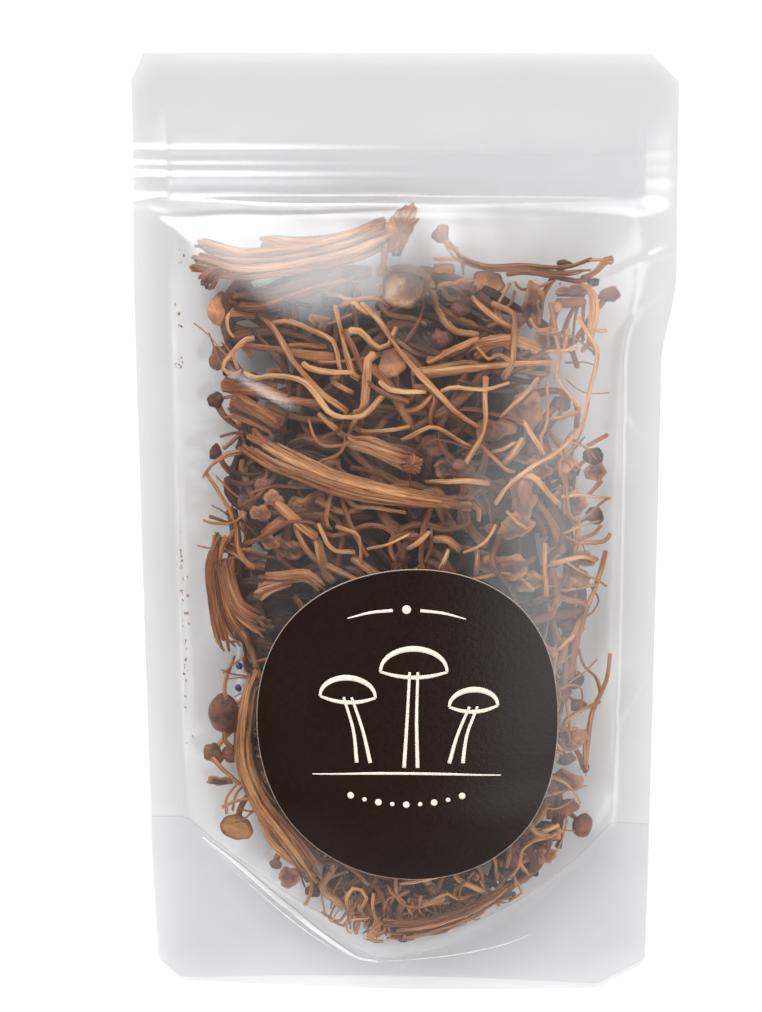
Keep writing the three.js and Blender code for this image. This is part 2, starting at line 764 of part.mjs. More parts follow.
// where a stem that comes from this point is rooted in the core
function rootOf(x, y) {
  const dx = (x - coreX) / coreHalfWidth;
  const dy = (y - coreY) / coreHalfHeight;
  const out = (Math.abs(dx) ** coreRoundness + Math.abs(dy) ** coreRoundness) ** (1 / coreRoundness);
  const share = Math.min(1, rootReach / out);
  return [coreX + dx * share * coreHalfWidth, coreY + dy * share * coreHalfHeight];
}

// a stem's points from its root to its tip, at shares of the height between the films
function stemPoints(route, radius, shareAt) {
  const curve = curveThrough(route);
  const steps = Math.max(4, Math.round(curve.getLength() / 6));
  const points = [];
  for (let i = 0; i <= steps; i++) {
    const t = i / steps;
    const at = curve.getPoint(t);
    const [x, y] = keepInside(at.x, at.y);
    points.push([x, y, layerHeight(x, y, shareAt(t), radius)]);
  }
  return points;
}

// a route from one point to another, bowed to one side and swaying
function bowedRoute(from, to, bow, sway) {
  const dx = to[0] - from[0];
  const dy = to[1] - from[1];
  const length = Math.hypot(dx, dy);
  return [0, 0.25, 0.5, 0.75, 1].map((t) => {
    const aside = bow * Math.sin(Math.PI * t) + sway * Math.sin(2 * Math.PI * t);
    return [from[0] + dx * t - dy / length * aside, from[1] + dy * t + dx / length * aside];
  });
}

// loops that rise out of the core and dive back into it, on the front and on the back
function loopStems(draw, count, low, high) {
  const stems = [];
  for (let i = 0; i < count; i++) {
    const x = coreX + coreHalfWidth * mix(-1, 1, draw());
    const y = coreY + coreHalfHeight * mix(-1, 1, (i + 0.5) / count);
    const heading = (draw() - 0.5) * 2.4;
    const half = mix(10, 19, draw());
    const [alongX, alongY] = [Math.cos(heading), Math.sin(heading)];
    const ends = [-half, half].map((reach) => rootOf(x + reach * alongX, y + reach * alongY));
    const peak = mix(low, high, draw());
    const arch = (t) => Math.sin(Math.PI * Math.min(t, 0.999)) ** 0.6;
    const shareAt = (t) => mix(coreShare, peak, arch(t));
    const route = bowedRoute(...ends, mix(-14, 14, draw()), mix(-4, 4, draw()));
    stems.push({ route, shareAt, radius: stemRadius * mix(0.85, 1.15, draw()) });
  }
  return stems;
}

// stems rooted in the core that reach out to the edge of the filling all round
function reachingStems(draw, count) {
  const stems = [];
  for (let i = 0; i < count; i++) {
    const angle = 2 * Math.PI * (i + 0.6 * draw()) / count;
    const edge = [coreX + 52 * Math.cos(angle), -12 + 82 * Math.sin(angle)];
    const tip = keepInside(edge[0], edge[1] + mix(-9, 9, draw()));
    const root = rootOf(tip[0] + mix(-10, 10, draw()), tip[1] + mix(-20, 20, draw()));
    const level = [0.95, 0.5, 0.75, 0.1][i % 4];
    const shareAt = (t) => mix(coreShare, level, smooth(t / 0.6));
    const route = bowedRoute(root, tip, mix(-7, 7, draw()), mix(-3, 3, draw()));
    stems.push({ route, shareAt, radius: stemRadius * mix(0.85, 1.1, draw()) });
  }
  return stems;
}

// stems that can be told apart, each a route of points [x, y] on the front of the tangle
const markedStems = [
  { route: [[-28, 49], [-21, 49.5], [-16, 47], [-14, 42]] },
  {
    route: [[-32, 52], [-27, 47], [-22, 41], [-18, 35], [-13.5, 30.5], [-9.5, 30.5], [-7, 35], [-6, 42]],
    radius: 1.35,
  },
  { route: [[-38, 43], [-37, 38], [-33, 37], [-27, 38], [-22, 37], [-17, 33], [-11, 31], [-4, 34]] },
  { route: [[-7, 52], [-2, 46], [4, 39], [12, 32], [17, 27]], radius: 1.4 },
  { route: [[-4, 36], [0, 35], [5, 36], [12, 36], [19, 35], [23, 38]] },
  { route: [[6, 39], [14, 40], [21, 40], [30, 40]] },
  { route: [[6, 41], [9, 43], [16, 45], [21, 47]] },
  { route: [[19, 35], [19, 30], [17, 25], [14, 20]] },
  { route: [[5, 16], [12, 16.5], [19, 17.5]] },
  { route: [[40, 56], [41, 53], [40, 48], [37, 43]] },
  { route: [[41, 47], [42, 41], [41, 34], [39, 25], [35, 21]], radius: 1.1 },
  { route: [[20, 10], [25, 16], [29, 20], [36, 24]], radius: 1.5 },
  { route: [[20, 8], [19, 2], [15, -3]], radius: 1.5 },
  { route: [[25, 13], [27, 9], [29, 3], [30, -3]] },
  { route: [[-13, 5], [-10, 3], [-4, 2], [2, 3]] },
  { route: [[-43, 17], [-40, 10], [-38, 5], [-31, 2]] },
  { route: [[-27, 6], [-23, 3], [-18, 0], [-12, -3]] },
  { route: [[44, -2], [43, -10], [42, -17], [38, -22]] },
  { route: [[44, -26], [44, -34], [43, -41], [40, -48]] },
  { route: [[-12, 25], [-5, 23.5], [3, 21]], radius: 2.4 },
];

// caps: where each sits, how wide it is and which way it faces
const markedCaps = [
  [-41, 52, 3.3], [-41, 41, 3.6], [-41.5, 31, 2.3], [-2, 41, 3.9], [-11, 51, 4], [6, 25, 4],
  [-40.5, -38, 3.8], [-42, -49, 2.4], [-37.5, -67, 3.3], [42, 19, 2.8], [43, 7, 2.7],
  [38, -30, 3], [40, -64, 3.3], [43.5, 54, 2], [21, 54, 3.2], [-36, 10, 2.2], [24, 6, 3.6],
  [31, -68, 2.7], [18, -77, 3], [-22, -79, 2.5], [42.5, -13, 2.6], [43, 33, 2.4], [41, -52, 2.8],
];

function markedCapSolids() {
  return markedCaps.flatMap(([x, y, radius], i) => {
    const root = rootOf(x, y + mix(-8, 8, (i % 4) / 3));
    const away = Math.hypot(x - root[0], y - root[1]);
    const out = away > 1 ? [(x - root[0]) / away, (y - root[1]) / away] : [0, 1];
    if (away < 8) root[1] = y - 13;
    const half = 0.8 * radius;
    const low = Math.max(lowestCentre(x, y, half, radius), floorAt(x, y, half));
    const high = Math.min(highestCentre(x, y, half, radius), ceilingAt(x, y, half, radius));
    const share = Math.abs(x) > 35 || y < -60 ? 0.62 : 0.95;
    const z = mix(low, Math.max(low, high), share);
    const [floor, ceiling] = [floorAt(x, y, stemRadius), ceilingAt(x, y, stemRadius)];
    const shareHere = (z - floor) / (ceiling - floor);
    const shareAt = (t) => mix(clamp(shareHere, 0, 1), coreShare, smooth(t));
    const stem = stemPoints(bowedRoute([x, y], root, 1.5, 1), stemRadius * 0.9, shareAt);
    const facing = [out[0] * 0.35, out[1] * 0.35, 1];
    const stemSolid = solidOf(tube(stem, () => stemRadius * 0.9, 3, 6));
    return [capSolid([x, y, z - 0.45 * radius], facing, radius), stemSolid];
  });
}

function makeTangle() {
  const draw = makeDraw(2024);
  const upper = loopStems(draw, 21, 0.72, 1);
  const lower = loopStems(draw, 10, 0, 0.08);
  const stems = [...upper, ...lower, ...reachingStems(draw, 29)];
  for (const { route, radius = stemRadius } of markedStems) {
    const rooted = [...route, rootOf(...route.at(-1))];
    const shareAt = (t) => mix(coreShare, 1, smooth(t / 0.15) * smooth((1 - t) / 0.3));
    stems.push({ route: rooted, radius, shareAt });
  }
  const solids = stems.map(({ route, radius, shareAt }) => {
    const points = stemPoints(route, radius, shareAt);
    return solidOf(tube(points, (t) => radius * (1.15 - 0.3 * t), 3, 6));
  });
  return mainBody(joined([makeCore(), ...solids, ...markedCapSolids()]));
}

// ---- the object ----
const colours = {
  film: '#dfe2e6', zip: '#e8ebee', label: '#2d2019', sachet: '#f0efec',
  stem: '#a8703c', dark: '#8a5a34', cap: '#7a5140',
};

function material(colour, roughness) {
  return new THREE.MeshStandardMaterial({ color: colour, roughness, metalness: 0 });
}

const pouch = new THREE.Group();

function addPiece(name, geometry, colour, roughness) {
  const mesh = new THREE.Mesh(geometry, material(colour, roughness));
  mesh.name = name;
  pouch.add(mesh);
}

addPiece('film_front', makeFrontFilm(), colours.film, 0.12);
addPiece('film_back', makeBackFilm(), colours.film, 0.12);
addPiece('film_gusset', makeGusset(), colours.film, 0.12);
addPiece('zip_rib_strip', makeRibStrip(), colours.zip, 0.3);
addPiece('zip_groove_strip', makeGrooveStrip(), colours.zip, 0.3);
addPiece('label', makeLabel(), colours.label, 0.55);
addPiece('desiccant_sachet', makeSachet(), colours.sachet, 0.8);

for (const bundle of bundles) {
  addUndersides(bundle, bundle);
  if (bundle.second) addUndersides(bundle, bundle.second);
  addPiece(bundle.name, makeBundle(bundle), colours.stem, 0.75);
}
addPiece('cap_curled', makeCurledCap(), colours.cap, 0.7);
addPiece('tangle', makeTangle(), colours.dark, 0.8);

export default pouch;
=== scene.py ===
import math

import bpy
import numpy as np
from mathutils import Euler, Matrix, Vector


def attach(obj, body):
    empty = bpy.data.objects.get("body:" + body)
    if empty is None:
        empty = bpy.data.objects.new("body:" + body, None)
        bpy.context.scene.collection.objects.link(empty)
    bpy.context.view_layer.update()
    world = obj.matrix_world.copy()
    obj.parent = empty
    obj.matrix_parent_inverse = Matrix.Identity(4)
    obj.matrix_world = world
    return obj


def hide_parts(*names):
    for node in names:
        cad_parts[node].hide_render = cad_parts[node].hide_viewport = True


# A clear zip pouch of dried enoki mushrooms. Forms are worked out in millimetres, as in the part's source,
# and turned to metres when a mesh is made.
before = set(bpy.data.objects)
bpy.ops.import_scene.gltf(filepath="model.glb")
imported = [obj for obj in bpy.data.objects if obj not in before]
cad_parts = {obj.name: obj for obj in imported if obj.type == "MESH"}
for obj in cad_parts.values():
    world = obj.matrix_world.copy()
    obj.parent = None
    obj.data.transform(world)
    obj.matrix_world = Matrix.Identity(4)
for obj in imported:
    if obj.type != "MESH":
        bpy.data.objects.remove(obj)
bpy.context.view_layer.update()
mm = 0.001

pouch = {
    "width": 120, "height": 215, "sideSeal": 8, "filmThickness": 0.16, "filmSeat": 0.17, "floorGap": 0.5,
    "backRests": 0.18,
    # where a change starts in y, how far it runs and how much it is
    "leftTaper": 2.6, "rightStep": (60, 20, 2.9), "rightTaper": (40, 147, 0.5),
    "seamAtMouth": 2.4, "seamRise": (98, 45, 6.1), "seamFall": (-70, 37, 4),
    "frontBulge": 16.5, "backBulge": 10, "bulgeTop": 76.5, "bulgeTopRun": 78, "bulgeBottomRun": 50,
    "roundness": {"across": (2.2, 0.7), "top": 0.62, "bottom": 0.6},
    # rounded bottom seal: its lowest point, then rise, run and power to each side
    "sealLowX": -6, "sealLowY": -99, "sealLeft": (28, 41, 1.28), "sealRight": (28.6, 51.6, 2.1),
    "foldRise": 3, "foldLimit": -66,
    # how far the films stand apart from the seam: at rest, at the gusset's layers, its opening and the zip
    "seamGap": 0.15, "gussetLayers": (-50, 12, 0.8), "gussetOpening": (-78, 20, 2.6), "openingHalf": 46,
    "zipBottom": 77, "zipTop": 86, "zipRun": 5, "zipHalfGap": 1.6, "mouthRun": 15,
}
topEdge = pouch["height"] / 2
bottomEdge = -pouch["height"] / 2


# form of the pouch
def smooth(t):
    s = np.clip(t, 0, 1)
    return s * s * (3 - 2 * s)


def mix(a, b, t):
    return a + (b - a) * t


def below(y, change):
    # a smooth change that starts at a height and runs downwards
    start, run, amount = change
    return amount * smooth((start - y) / run)


def leftEdge(y):
    return -pouch["width"] / 2 + pouch["leftTaper"] * (topEdge - y) / pouch["height"]


def rightEdge(y):
    return pouch["width"] / 2 - below(y, pouch["rightStep"]) - below(y, pouch["rightTaper"])


def gussetSeal(x):
    d = x - pouch["sealLowX"]
    sides = (pouch["sealLeft"], pouch["sealRight"])
    left, right = (rise * (np.abs(d) / run) ** power for rise, run, power in sides)
    y = pouch["sealLowY"] + np.where(d < 0, left, right)
    return np.minimum(y, pouch["foldLimit"] - pouch["foldRise"])


def gussetFold(x):
    return np.minimum(gussetSeal(x) + pouch["foldRise"], pouch["foldLimit"])


def seamHeight(y):
    return pouch["seamAtMouth"] + below(y, pouch["seamRise"]) - below(y, pouch["seamFall"])


def bulge(x, y):
    a = leftEdge(y) + pouch["sideSeal"]
    b = rightEdge(y) - pouch["sideSeal"]
    u = np.clip((2 * x - a - b) / (b - a), -1, 1)
    shape = pouch["roundness"]
    across = (1 - np.abs(u) ** shape["across"][0]) ** shape["across"][1]
    top = np.sin(np.pi / 2 * np.clip((pouch["bulgeTop"] - y) / pouch["bulgeTopRun"], 0, 1)) ** shape["top"]
    low = np.sin(np.pi / 2 * np.clip((y - gussetSeal(x)) / pouch["bulgeBottomRun"], 0, 1)) ** shape["bottom"]
    return across * top * low


def fromSides(x, y):
    return np.minimum(x - leftEdge(y), rightEdge(y) - x)


def atZip(x, y):
    # how far the zip holds the films apart: all of it at the strips, none at the side seals
    run = pouch["zipRun"]
    rise = smooth((y - pouch["zipBottom"] + run) / run) * smooth((pouch["zipTop"] + run - y) / run)
    return rise * smooth(fromSides(x, y) / pouch["sideSeal"])


def halfGap(x, y):
    opening = np.maximum(0, 1 - (x / pouch["openingHalf"]) ** 2) * below(y, pouch["gussetOpening"])
    zipRise = (pouch["zipHalfGap"] - pouch["seamGap"]) * atZip(x, y)
    return pouch["seamGap"] + below(y, pouch["gussetLayers"]) + opening + zipRise


def frontInner(x, y):
    return seamHeight(y) + halfGap(x, y) + pouch["frontBulge"] * bulge(x, y)


def backInner(x, y):
    return np.maximum(seamHeight(y) - halfGap(x, y) - pouch["backBulge"] * bulge(x, y), pouch["floorGap"])


# meshes
class Parts:
    # vertices, faces, corner UVs and a tint per vertex, gathered for one piece
    def __init__(self):
        self.points, self.quads, self.corners, self.tints, self.slots = [], [], [], [], []
        self.count = 0

    def addGrid(self, points, tint, closedAround=False, uv=(1.0, 1.0), flip=False, slot=0):
        # a grid of rows by columns; closedAround joins the last column to the first
        rows, columns = points.shape[:2]
        wrap = columns if closedAround else columns - 1
        r = np.arange(rows - 1)[:, None]
        c = np.arange(wrap)[None, :]
        index = np.arange(rows * columns).reshape(rows, columns) + self.count
        for end in (0, -1):
            if np.ptp(points[end], axis=0).max() < 1e-6:  # a row drawn together shares one vertex
                index[end] = index[end, 0]
        after = (c + 1) % columns
        quads = np.stack([index[r, c], index[r, after], index[r + 1, after], index[r + 1, c]], -1)
        quads = quads.reshape(-1, 4)
        u0, v0 = c / wrap * uv[0] + 0 * r, r / (rows - 1) * uv[1] + 0 * c
        u1, v1 = (c + 1) / wrap * uv[0] + 0 * r, (r + 1) / (rows - 1) * uv[1] + 0 * c
        corners = np.stack([np.stack([u0, v0], -1), np.stack([u1, v0], -1),
                            np.stack([u1, v1], -1), np.stack([u0, v1], -1)], 2).reshape(-1, 4, 2)
        if flip:
            quads, corners = quads[:, ::-1], corners[:, ::-1]
        self.points.append(points.reshape(-1, 3))
        self.quads.append(quads)
        self.slots.append(np.full(len(quads), slot, np.int32))
        self.corners.append(corners)
        tint = np.broadcast_to(np.asarray(tint, float), (rows, columns, 4)) if np.ndim(tint) < 3 else tint
        self.tints.append(tint.reshape(-1, 4))
        self.count += rows * columns

    def make(self, name, *finishes):
        mesh = bpy.data.meshes.new(name)
        quads = np.concatenate(self.quads)
        kept = quads != np.roll(quads, 1, axis=1)  # quads at a shared vertex become triangles
        used, loops = np.unique(quads[kept], return_inverse=True)
        starts = np.cumsum(kept.sum(1)) - kept.sum(1)
        mesh.vertices.add(len(used))
        mesh.vertices.foreach_set("co", (np.concatenate(self.points)[used] * mm).ravel())
        mesh.loops.add(len(loops))
        mesh.loops.foreach_set("vertex_index", loops.ravel().astype(np.int32))
        mesh.polygons.add(len(quads))
        mesh.polygons.foreach_set("loop_start", starts.astype(np.int32))
        for finish in finishes:
            mesh.materials.append(finish)
        mesh.polygons.foreach_set("material_index", np.concatenate(self.slots))
        mesh.update(calc_edges=True)
        uvMap = mesh.uv_layers.new(name="along")
        uvMap.data.foreach_set("uv", np.concatenate(self.corners)[kept].ravel().astype(np.float32))
        tint = mesh.attributes.new("tint", "FLOAT_COLOR", "POINT")
        tint.data.foreach_set("color", np.concatenate(self.tints)[used].ravel().astype(np.float32))
        mesh.validate()
        mesh.shade_smooth()
        piece = bpy.data.objects.new(name, mesh)
        bpy.context.scene.collection.objects.link(piece)
        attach(piece, "root")
        return piece


def curveThrough(points, count):
    # evenly spread points on a smooth curve through the given ones
    p = np.asarray(points, float)
    p = np.vstack([2 * p[0] - p[1], p, 2 * p[-1] - p[-2]])
    t = np.linspace(0, len(p) - 3, max(count, 2) * 3)
    i = np.minimum(t.astype(int), len(p) - 4)
    s = (t - i)[:, None]
    p0, p1, p2, p3 = p[i], p[i + 1], p[i + 2], p[i + 3]
    q = 2 * p1 + (p2 - p0) * s + (2 * p0 - 5 * p1 + 4 * p2 - p3) * s ** 2
    q = 0.5 * (q + (3 * p1 - p0 - 3 * p2 + p3) * s ** 3)
    run = np.concatenate([[0], np.cumsum(np.linalg.norm(np.diff(q, axis=0), axis=1))])
    even = np.linspace(0, run[-1], count)
    return np.stack([np.interp(even, run, q[:, k]) for k in range(p.shape[1])], 1)


def withEnds(rings):
    # closes a tube of rings with one point in the middle of each end
    points = [np.repeat(rings[end].mean(axis=0)[None, None], rings.shape[1], 1) for end in (0, -1)]
    return np.concatenate([points[0], rings, points[1]])


def pathLength(path):
    return np.linalg.norm(np.diff(path, axis=0), axis=1).sum()


def headings(path):
    # unit steps along a path
    along = np.gradient(path, axis=0)
    return along / (np.linalg.norm(along, axis=1, keepdims=True) + 1e-9)


def besidePath(path):
    # unit steps to the left of a flat path
    along = headings(path)
    return np.stack([-along[:, 1], along[:, 0]], 1)


def ringAngles(sides):
    return np.linspace(0, 2 * np.pi, sides, endpoint=False)[None, :]


def turned(x, y, angle):
    return x * np.cos(angle) - y * np.sin(angle), x * np.sin(angle) + y * np.cos(angle)


def bothSides(upper, lower):
    # one shell from the middle of a round piece's upper face, over its rim, to the middle below
    return np.concatenate([np.stack(upper, -1), np.stack(lower, -1)[::-1]])


plainTint = (0.5, 0.5, 0.5, 1)


def tinted(rows, columns, tone, light, place):
    # what the materials read: tone, painted light and shade, and place along or across the piece
    tints = np.ones((rows, columns, 4))
    tints[..., 0], tints[..., 1], tints[..., 2] = tone, light, place
    return tints


def waves(rng, t, amplitude, turns):
    # a gentle random wander along t, from a few sines
    total = np.zeros_like(t)
    for k in range(3):
        total += np.sin(2 * np.pi * turns * (0.6 + 0.7 * k) * t + rng.uniform(0, 6.28)) / (1 + k)
    return amplitude * total * 0.6


# rounded end of a stem: how narrow its last ring is, and how far out that ring and the tip are
stemEnd = {"ring": 0.35, "ringOut": 0.35, "tipOut": 0.45}


def addTube(parts, path, radius, tint, rng, sides=8, flat=1.0, twist=0.0, ridges=0.1):
    # a stem along path; radius, flatness and ridges vary as a dried stem's do
    n = len(path)
    along = headings(path)
    across = np.cross(along, [0, 0, 1.0])
    across /= np.linalg.norm(across, axis=1, keepdims=True) + 1e-9
    over = np.cross(across, along)
    t = np.linspace(0, 1, n)
    length = pathLength(path)
    angle = ringAngles(sides)
    radius = np.broadcast_to(radius, n)[:, None]
    phase = rng.uniform(0, 6.28, 4)
    ripple = np.sin(3 * angle + phase[0] + 2.2 * t[:, None] * length / 18)
    ripple = ripple + 0.6 * np.sin(2 * angle + phase[1] - 3 * t[:, None] * length / 15)
    pinch = waves(rng, t, 0.1, length / 14)[:, None]
    r = radius * (1 + ridges * ripple + pinch)
    side, up = turned(np.cos(angle) * r, np.sin(angle) * r * flat, (twist * t + phase[2])[:, None])
    points = path[:, None, :] + side[..., None] * across[:, None, :] + up[..., None] * over[:, None, :]
    ring, ringOut, tipOut = stemEnd["ring"], stemEnd["ringOut"], stemEnd["tipOut"]
    first = path[0] + ring * (points[0] - path[0]) - along[0] * radius[0] * ringOut
    last = path[-1] + ring * (points[-1] - path[-1]) + along[-1] * radius[-1] * ringOut
    start = np.repeat((path[0] - along[0] * radius[0] * tipOut)[None, :], sides, 0)
    end = np.repeat((path[-1] + along[-1] * radius[-1] * tipOut)[None, :], sides, 0)
    points = np.concatenate([start[None], first[None], points, last[None], end[None]])
    tints = tinted(n + 4, sides, *tint, np.concatenate([[0, 0], t, [1, 1]])[:, None])
    girth = 2 * np.pi * float(np.mean(radius))
    parts.addGrid(points, tints, closedAround=True, uv=(girth, length), flip=True)


# room between the films
filling = {
    "clearance": 0.9, "left": -46, "right": 48, "top": 63, "aboveSeal": 4,
    # points without room are drawn towards this middle line, a share of the way at a time
    "middleX": 2, "middleLow": -62, "middleHigh": 42, "leastRoom": 0.2, "drawSteps": 40, "drawShare": 0.03,
    # how looser stems pass under bundles: gap below them, extra reach, and how fast the height comes back
    "underGap": 0.4, "underReach": 0.8, "underSlope": 1.6,
    # how stems lie over the sachet: gap above it and how fast the height falls beside it
    "overGap": 1.2, "besideSachet": 1, "overSlope": 0.9, "overReach": 8,
}
sachet = {"x": -22, "y": -28, "width": 32, "height": 46, "lift": 0.8, "edge": 0.7, "swell": 2.6}


def around(x, y, reach):
    return [(x, y), (x - reach, y), (x + reach, y), (x, y - reach), (x, y + reach)]


def lowestCentre(x, y, half, reach=None):
    places = around(x, y, half if reach is None else reach)
    return np.max([backInner(a, b) for a, b in places], axis=0) + filling["clearance"] + half


def highestCentre(x, y, half, reach=None):
    places = around(x, y, half if reach is None else reach)
    return np.min([frontInner(a, b) for a, b in places], axis=0) - filling["clearance"] - half


def drawInto(x, y, radius):
    # draws points in from the thin edges of the filling until they have room
    for step in range(filling["drawSteps"]):
        tight = highestCentre(x, y, radius) - lowestCentre(x, y, radius) <= filling["leastRoom"]
        if not np.any(tight):
            break
        middleY = np.clip(y, filling["middleLow"], filling["middleHigh"])
        x = np.where(tight, mix(x, filling["middleX"], filling["drawShare"]), x)
        y = np.where(tight, mix(y, middleY, filling["drawShare"]), y)
    return x, y


def keepInside(x, y, radius):
    x = np.clip(x, filling["left"], filling["right"])
    y = np.maximum(np.minimum(y, filling["top"]), gussetSeal(x) + filling["aboveSeal"])
    return drawInto(x, y, radius)


undersides = []  # x, y, reach and height below which looser stems pass


def ceilingAt(x, y, radius, reach=None):
    reach = radius if reach is None else reach
    ceiling = highestCentre(x, y, radius, reach)
    if undersides:
        u = np.asarray(undersides)
        x, y, radius, reach = (np.asarray(v)[..., None] for v in (x, y, radius, reach))
        far = np.hypot(x - u[:, 0], y - u[:, 1])
        beyond = np.maximum(0, far - u[:, 2] - reach - filling["underReach"])
        under = u[:, 3] - radius - filling["underGap"] + filling["underSlope"] * beyond
        ceiling = np.minimum(ceiling, under.min(-1))
    return ceiling


def floorAt(x, y, radius):
    margin = radius + filling["besideSachet"]
    outX = np.maximum(0, np.abs(x - sachet["x"]) - sachet["width"] / 2 - margin)
    outY = np.maximum(0, np.abs(y - sachet["y"]) - sachet["height"] / 2 - margin)
    beyond = np.hypot(outX, outY)
    middle = backInner(sachet["x"], y)
    over = middle + sachet["lift"] + sachet["edge"] + sachet["swell"] + filling["overGap"] + radius
    over = over - filling["overSlope"] * beyond + np.maximum(0, backInner(x, y) - middle)
    return np.maximum(lowestCentre(x, y, radius), np.where(beyond < filling["overReach"], over, 0))


def layerHeight(x, y, share, radius):
    low = floorAt(x, y, radius)
    high = np.maximum(low, ceilingAt(x, y, radius))
    return mix(low, high, np.clip(share, 0, 1))


# materials
class Nodes:
    # short calls to place and link shader nodes
    def __init__(self, name):
        self.material = bpy.data.materials.new(name)
        self.material.use_nodes = True
        self.tree = self.material.node_tree
        self.tree.nodes.clear()

    def add(self, kind, outlet=0, **inputs):
        node = self.tree.nodes.new("ShaderNode" + kind)
        settings = {k: v for k, v in inputs.items() if hasattr(node, k) and k != "name"}
        for key, value in settings.items():
            setattr(node, key, value)
        for key, value in inputs.items():
            if key not in settings:
                self.feed(node, key, value)
        return node.outputs[outlet]

    def feed(self, node, key, value):
        socket = node.inputs[int(key[2:])] if key.startswith("in") and key[2:].isdigit() else node.inputs[key]
        if isinstance(value, bpy.types.NodeSocket):
            self.tree.links.new(value, socket)
        else:
            socket.default_value = value

    def ramp(self, value, stops):
        node = self.tree.nodes.new("ShaderNodeValToRGB")
        while len(node.color_ramp.elements) < len(stops):
            node.color_ramp.elements.new(0.5)
        for element, (place, colour) in zip(node.color_ramp.elements, stops):
            element.position = place
            element.color = (*colour, 1) if len(colour) == 3 else colour
        self.tree.links.new(value, node.inputs[0])
        return node.outputs[0]

    def blend(self, share, first, second, blendType="MIX"):
        node = self.tree.nodes.new("ShaderNodeMix")
        node.data_type = "RGBA"
        node.blend_type = blendType
        for index, value in ((0, share), (6, first), (7, second)):
            if isinstance(value, bpy.types.NodeSocket):
                self.tree.links.new(value, node.inputs[index])
            else:
                node.inputs[index].default_value = value if index == 0 or len(value) == 4 else (*value, 1)
        return node.outputs[2]

    def maths(self, operation, a, b=0.0, clamp=False):
        return self.add("Math", operation=operation, use_clamp=clamp, in0=a, in1=b)

    def scaled(self, value, amount):
        return self.maths("MULTIPLY", value, amount)

    def noise(self, scale, detail, roughness=0.5):
        # a soft random pattern fixed to the object
        return self.add("TexNoise", Vector=self.place(), Scale=scale, Detail=detail, Roughness=roughness)

    def streaks(self, across, along, detail, roughness=0.5):
        # a soft random pattern drawn out along a stem
        uv = self.add("UVMap", uv_map="along")
        place = self.add("Mapping", in0=uv, in3=(across, along, 1))
        return self.add("TexNoise", in0=place, Scale=1.0, Detail=detail, Roughness=roughness)

    def place(self):
        return self.add("TexCoord", outlet=3)

    def tint(self):
        # tone, painted light and shade, and place, as each vertex holds them
        return self.add("SeparateColor", in0=self.add("Attribute", attribute_name="tint")).node.outputs

    def shaded(self, value, low, high, roughLow, roughHigh):
        return self.add("MapRange", in0=value, in1=low, in2=high, in3=roughLow, in4=roughHigh)

    def bumped(self, height, strength, depth):
        return self.add("Bump", Strength=strength, Distance=depth, Height=height)

    def solid(self, colour, roughness, specular=0.5, **more):
        return self.finish(self.add("BsdfPrincipled", Roughness=roughness,
                                    **{"Base Color": colour, "Specular IOR Level": specular}, **more))

    def finish(self, shader):
        output = self.tree.nodes.new("ShaderNodeOutputMaterial")
        self.tree.links.new(shader, output.inputs[0])
        return self.material


def fromSrgb(r, g, b):
    # linear colour from a 0 to 255 display colour
    return tuple(((c / 255 + 0.055) / 1.055) ** 2.4 if c > 10 else c / 255 / 12.92 for c in (r, g, b))


def stemMaterial(name, colours, streakDepth):
    # dried stem: fine streaks along its length, blotches, paler tips here and there, darker lines in its
    # grooves that are partly its own streaks and partly painted shade, and painted light and shade by depth
    # in the tangle
    n = Nodes(name)
    dark, mid, light = (fromSrgb(*colour) for colour in colours)
    tone, level, _ = n.tint()
    streaks = n.streaks(1.7, 0.11, 4.0, 0.6)
    fine = n.streaks(3.4, 0.2, 3.0, 0.6)
    blotch = n.noise(120.0, 3.0, 0.6)
    value = n.maths("ADD", n.scaled(streaks, 0.62), n.scaled(blotch, 0.36))
    value = n.maths("ADD", value, n.scaled(n.maths("SUBTRACT", tone, 0.5), 0.42))
    colour = n.ramp(value, [(0.28, dark), (0.5, mid), (0.72, light)])
    # painted light and shade: the colour is multiplied by the vertex light, dark deep in the tangle and
    # brighter than itself near the front
    shade = n.ramp(level, [(0.0, (0.25, 0.2, 0.19)), (0.5, (0.54, 0.5, 0.49)), (1.0, (1.16, 1.16, 1.16))])
    colour = n.blend(1.0, colour, shade, "MULTIPLY")
    # darker lines where the bump is low: partly the stem's own dark streaks, partly painted shade in the
    # grooves
    crease = n.ramp(fine, [(0.36, (0.34, 0.26, 0.22)), (0.56, (1, 1, 1))])
    colour = n.blend(0.75, colour, crease, "MULTIPLY")
    height = n.maths("ADD", n.scaled(streaks, 1.0), n.scaled(fine, 0.45))
    return n.solid(colour, n.shaded(fine, 0.3, 0.7, 0.36, 0.62), Normal=n.bumped(height, streakDepth, 0.0013))


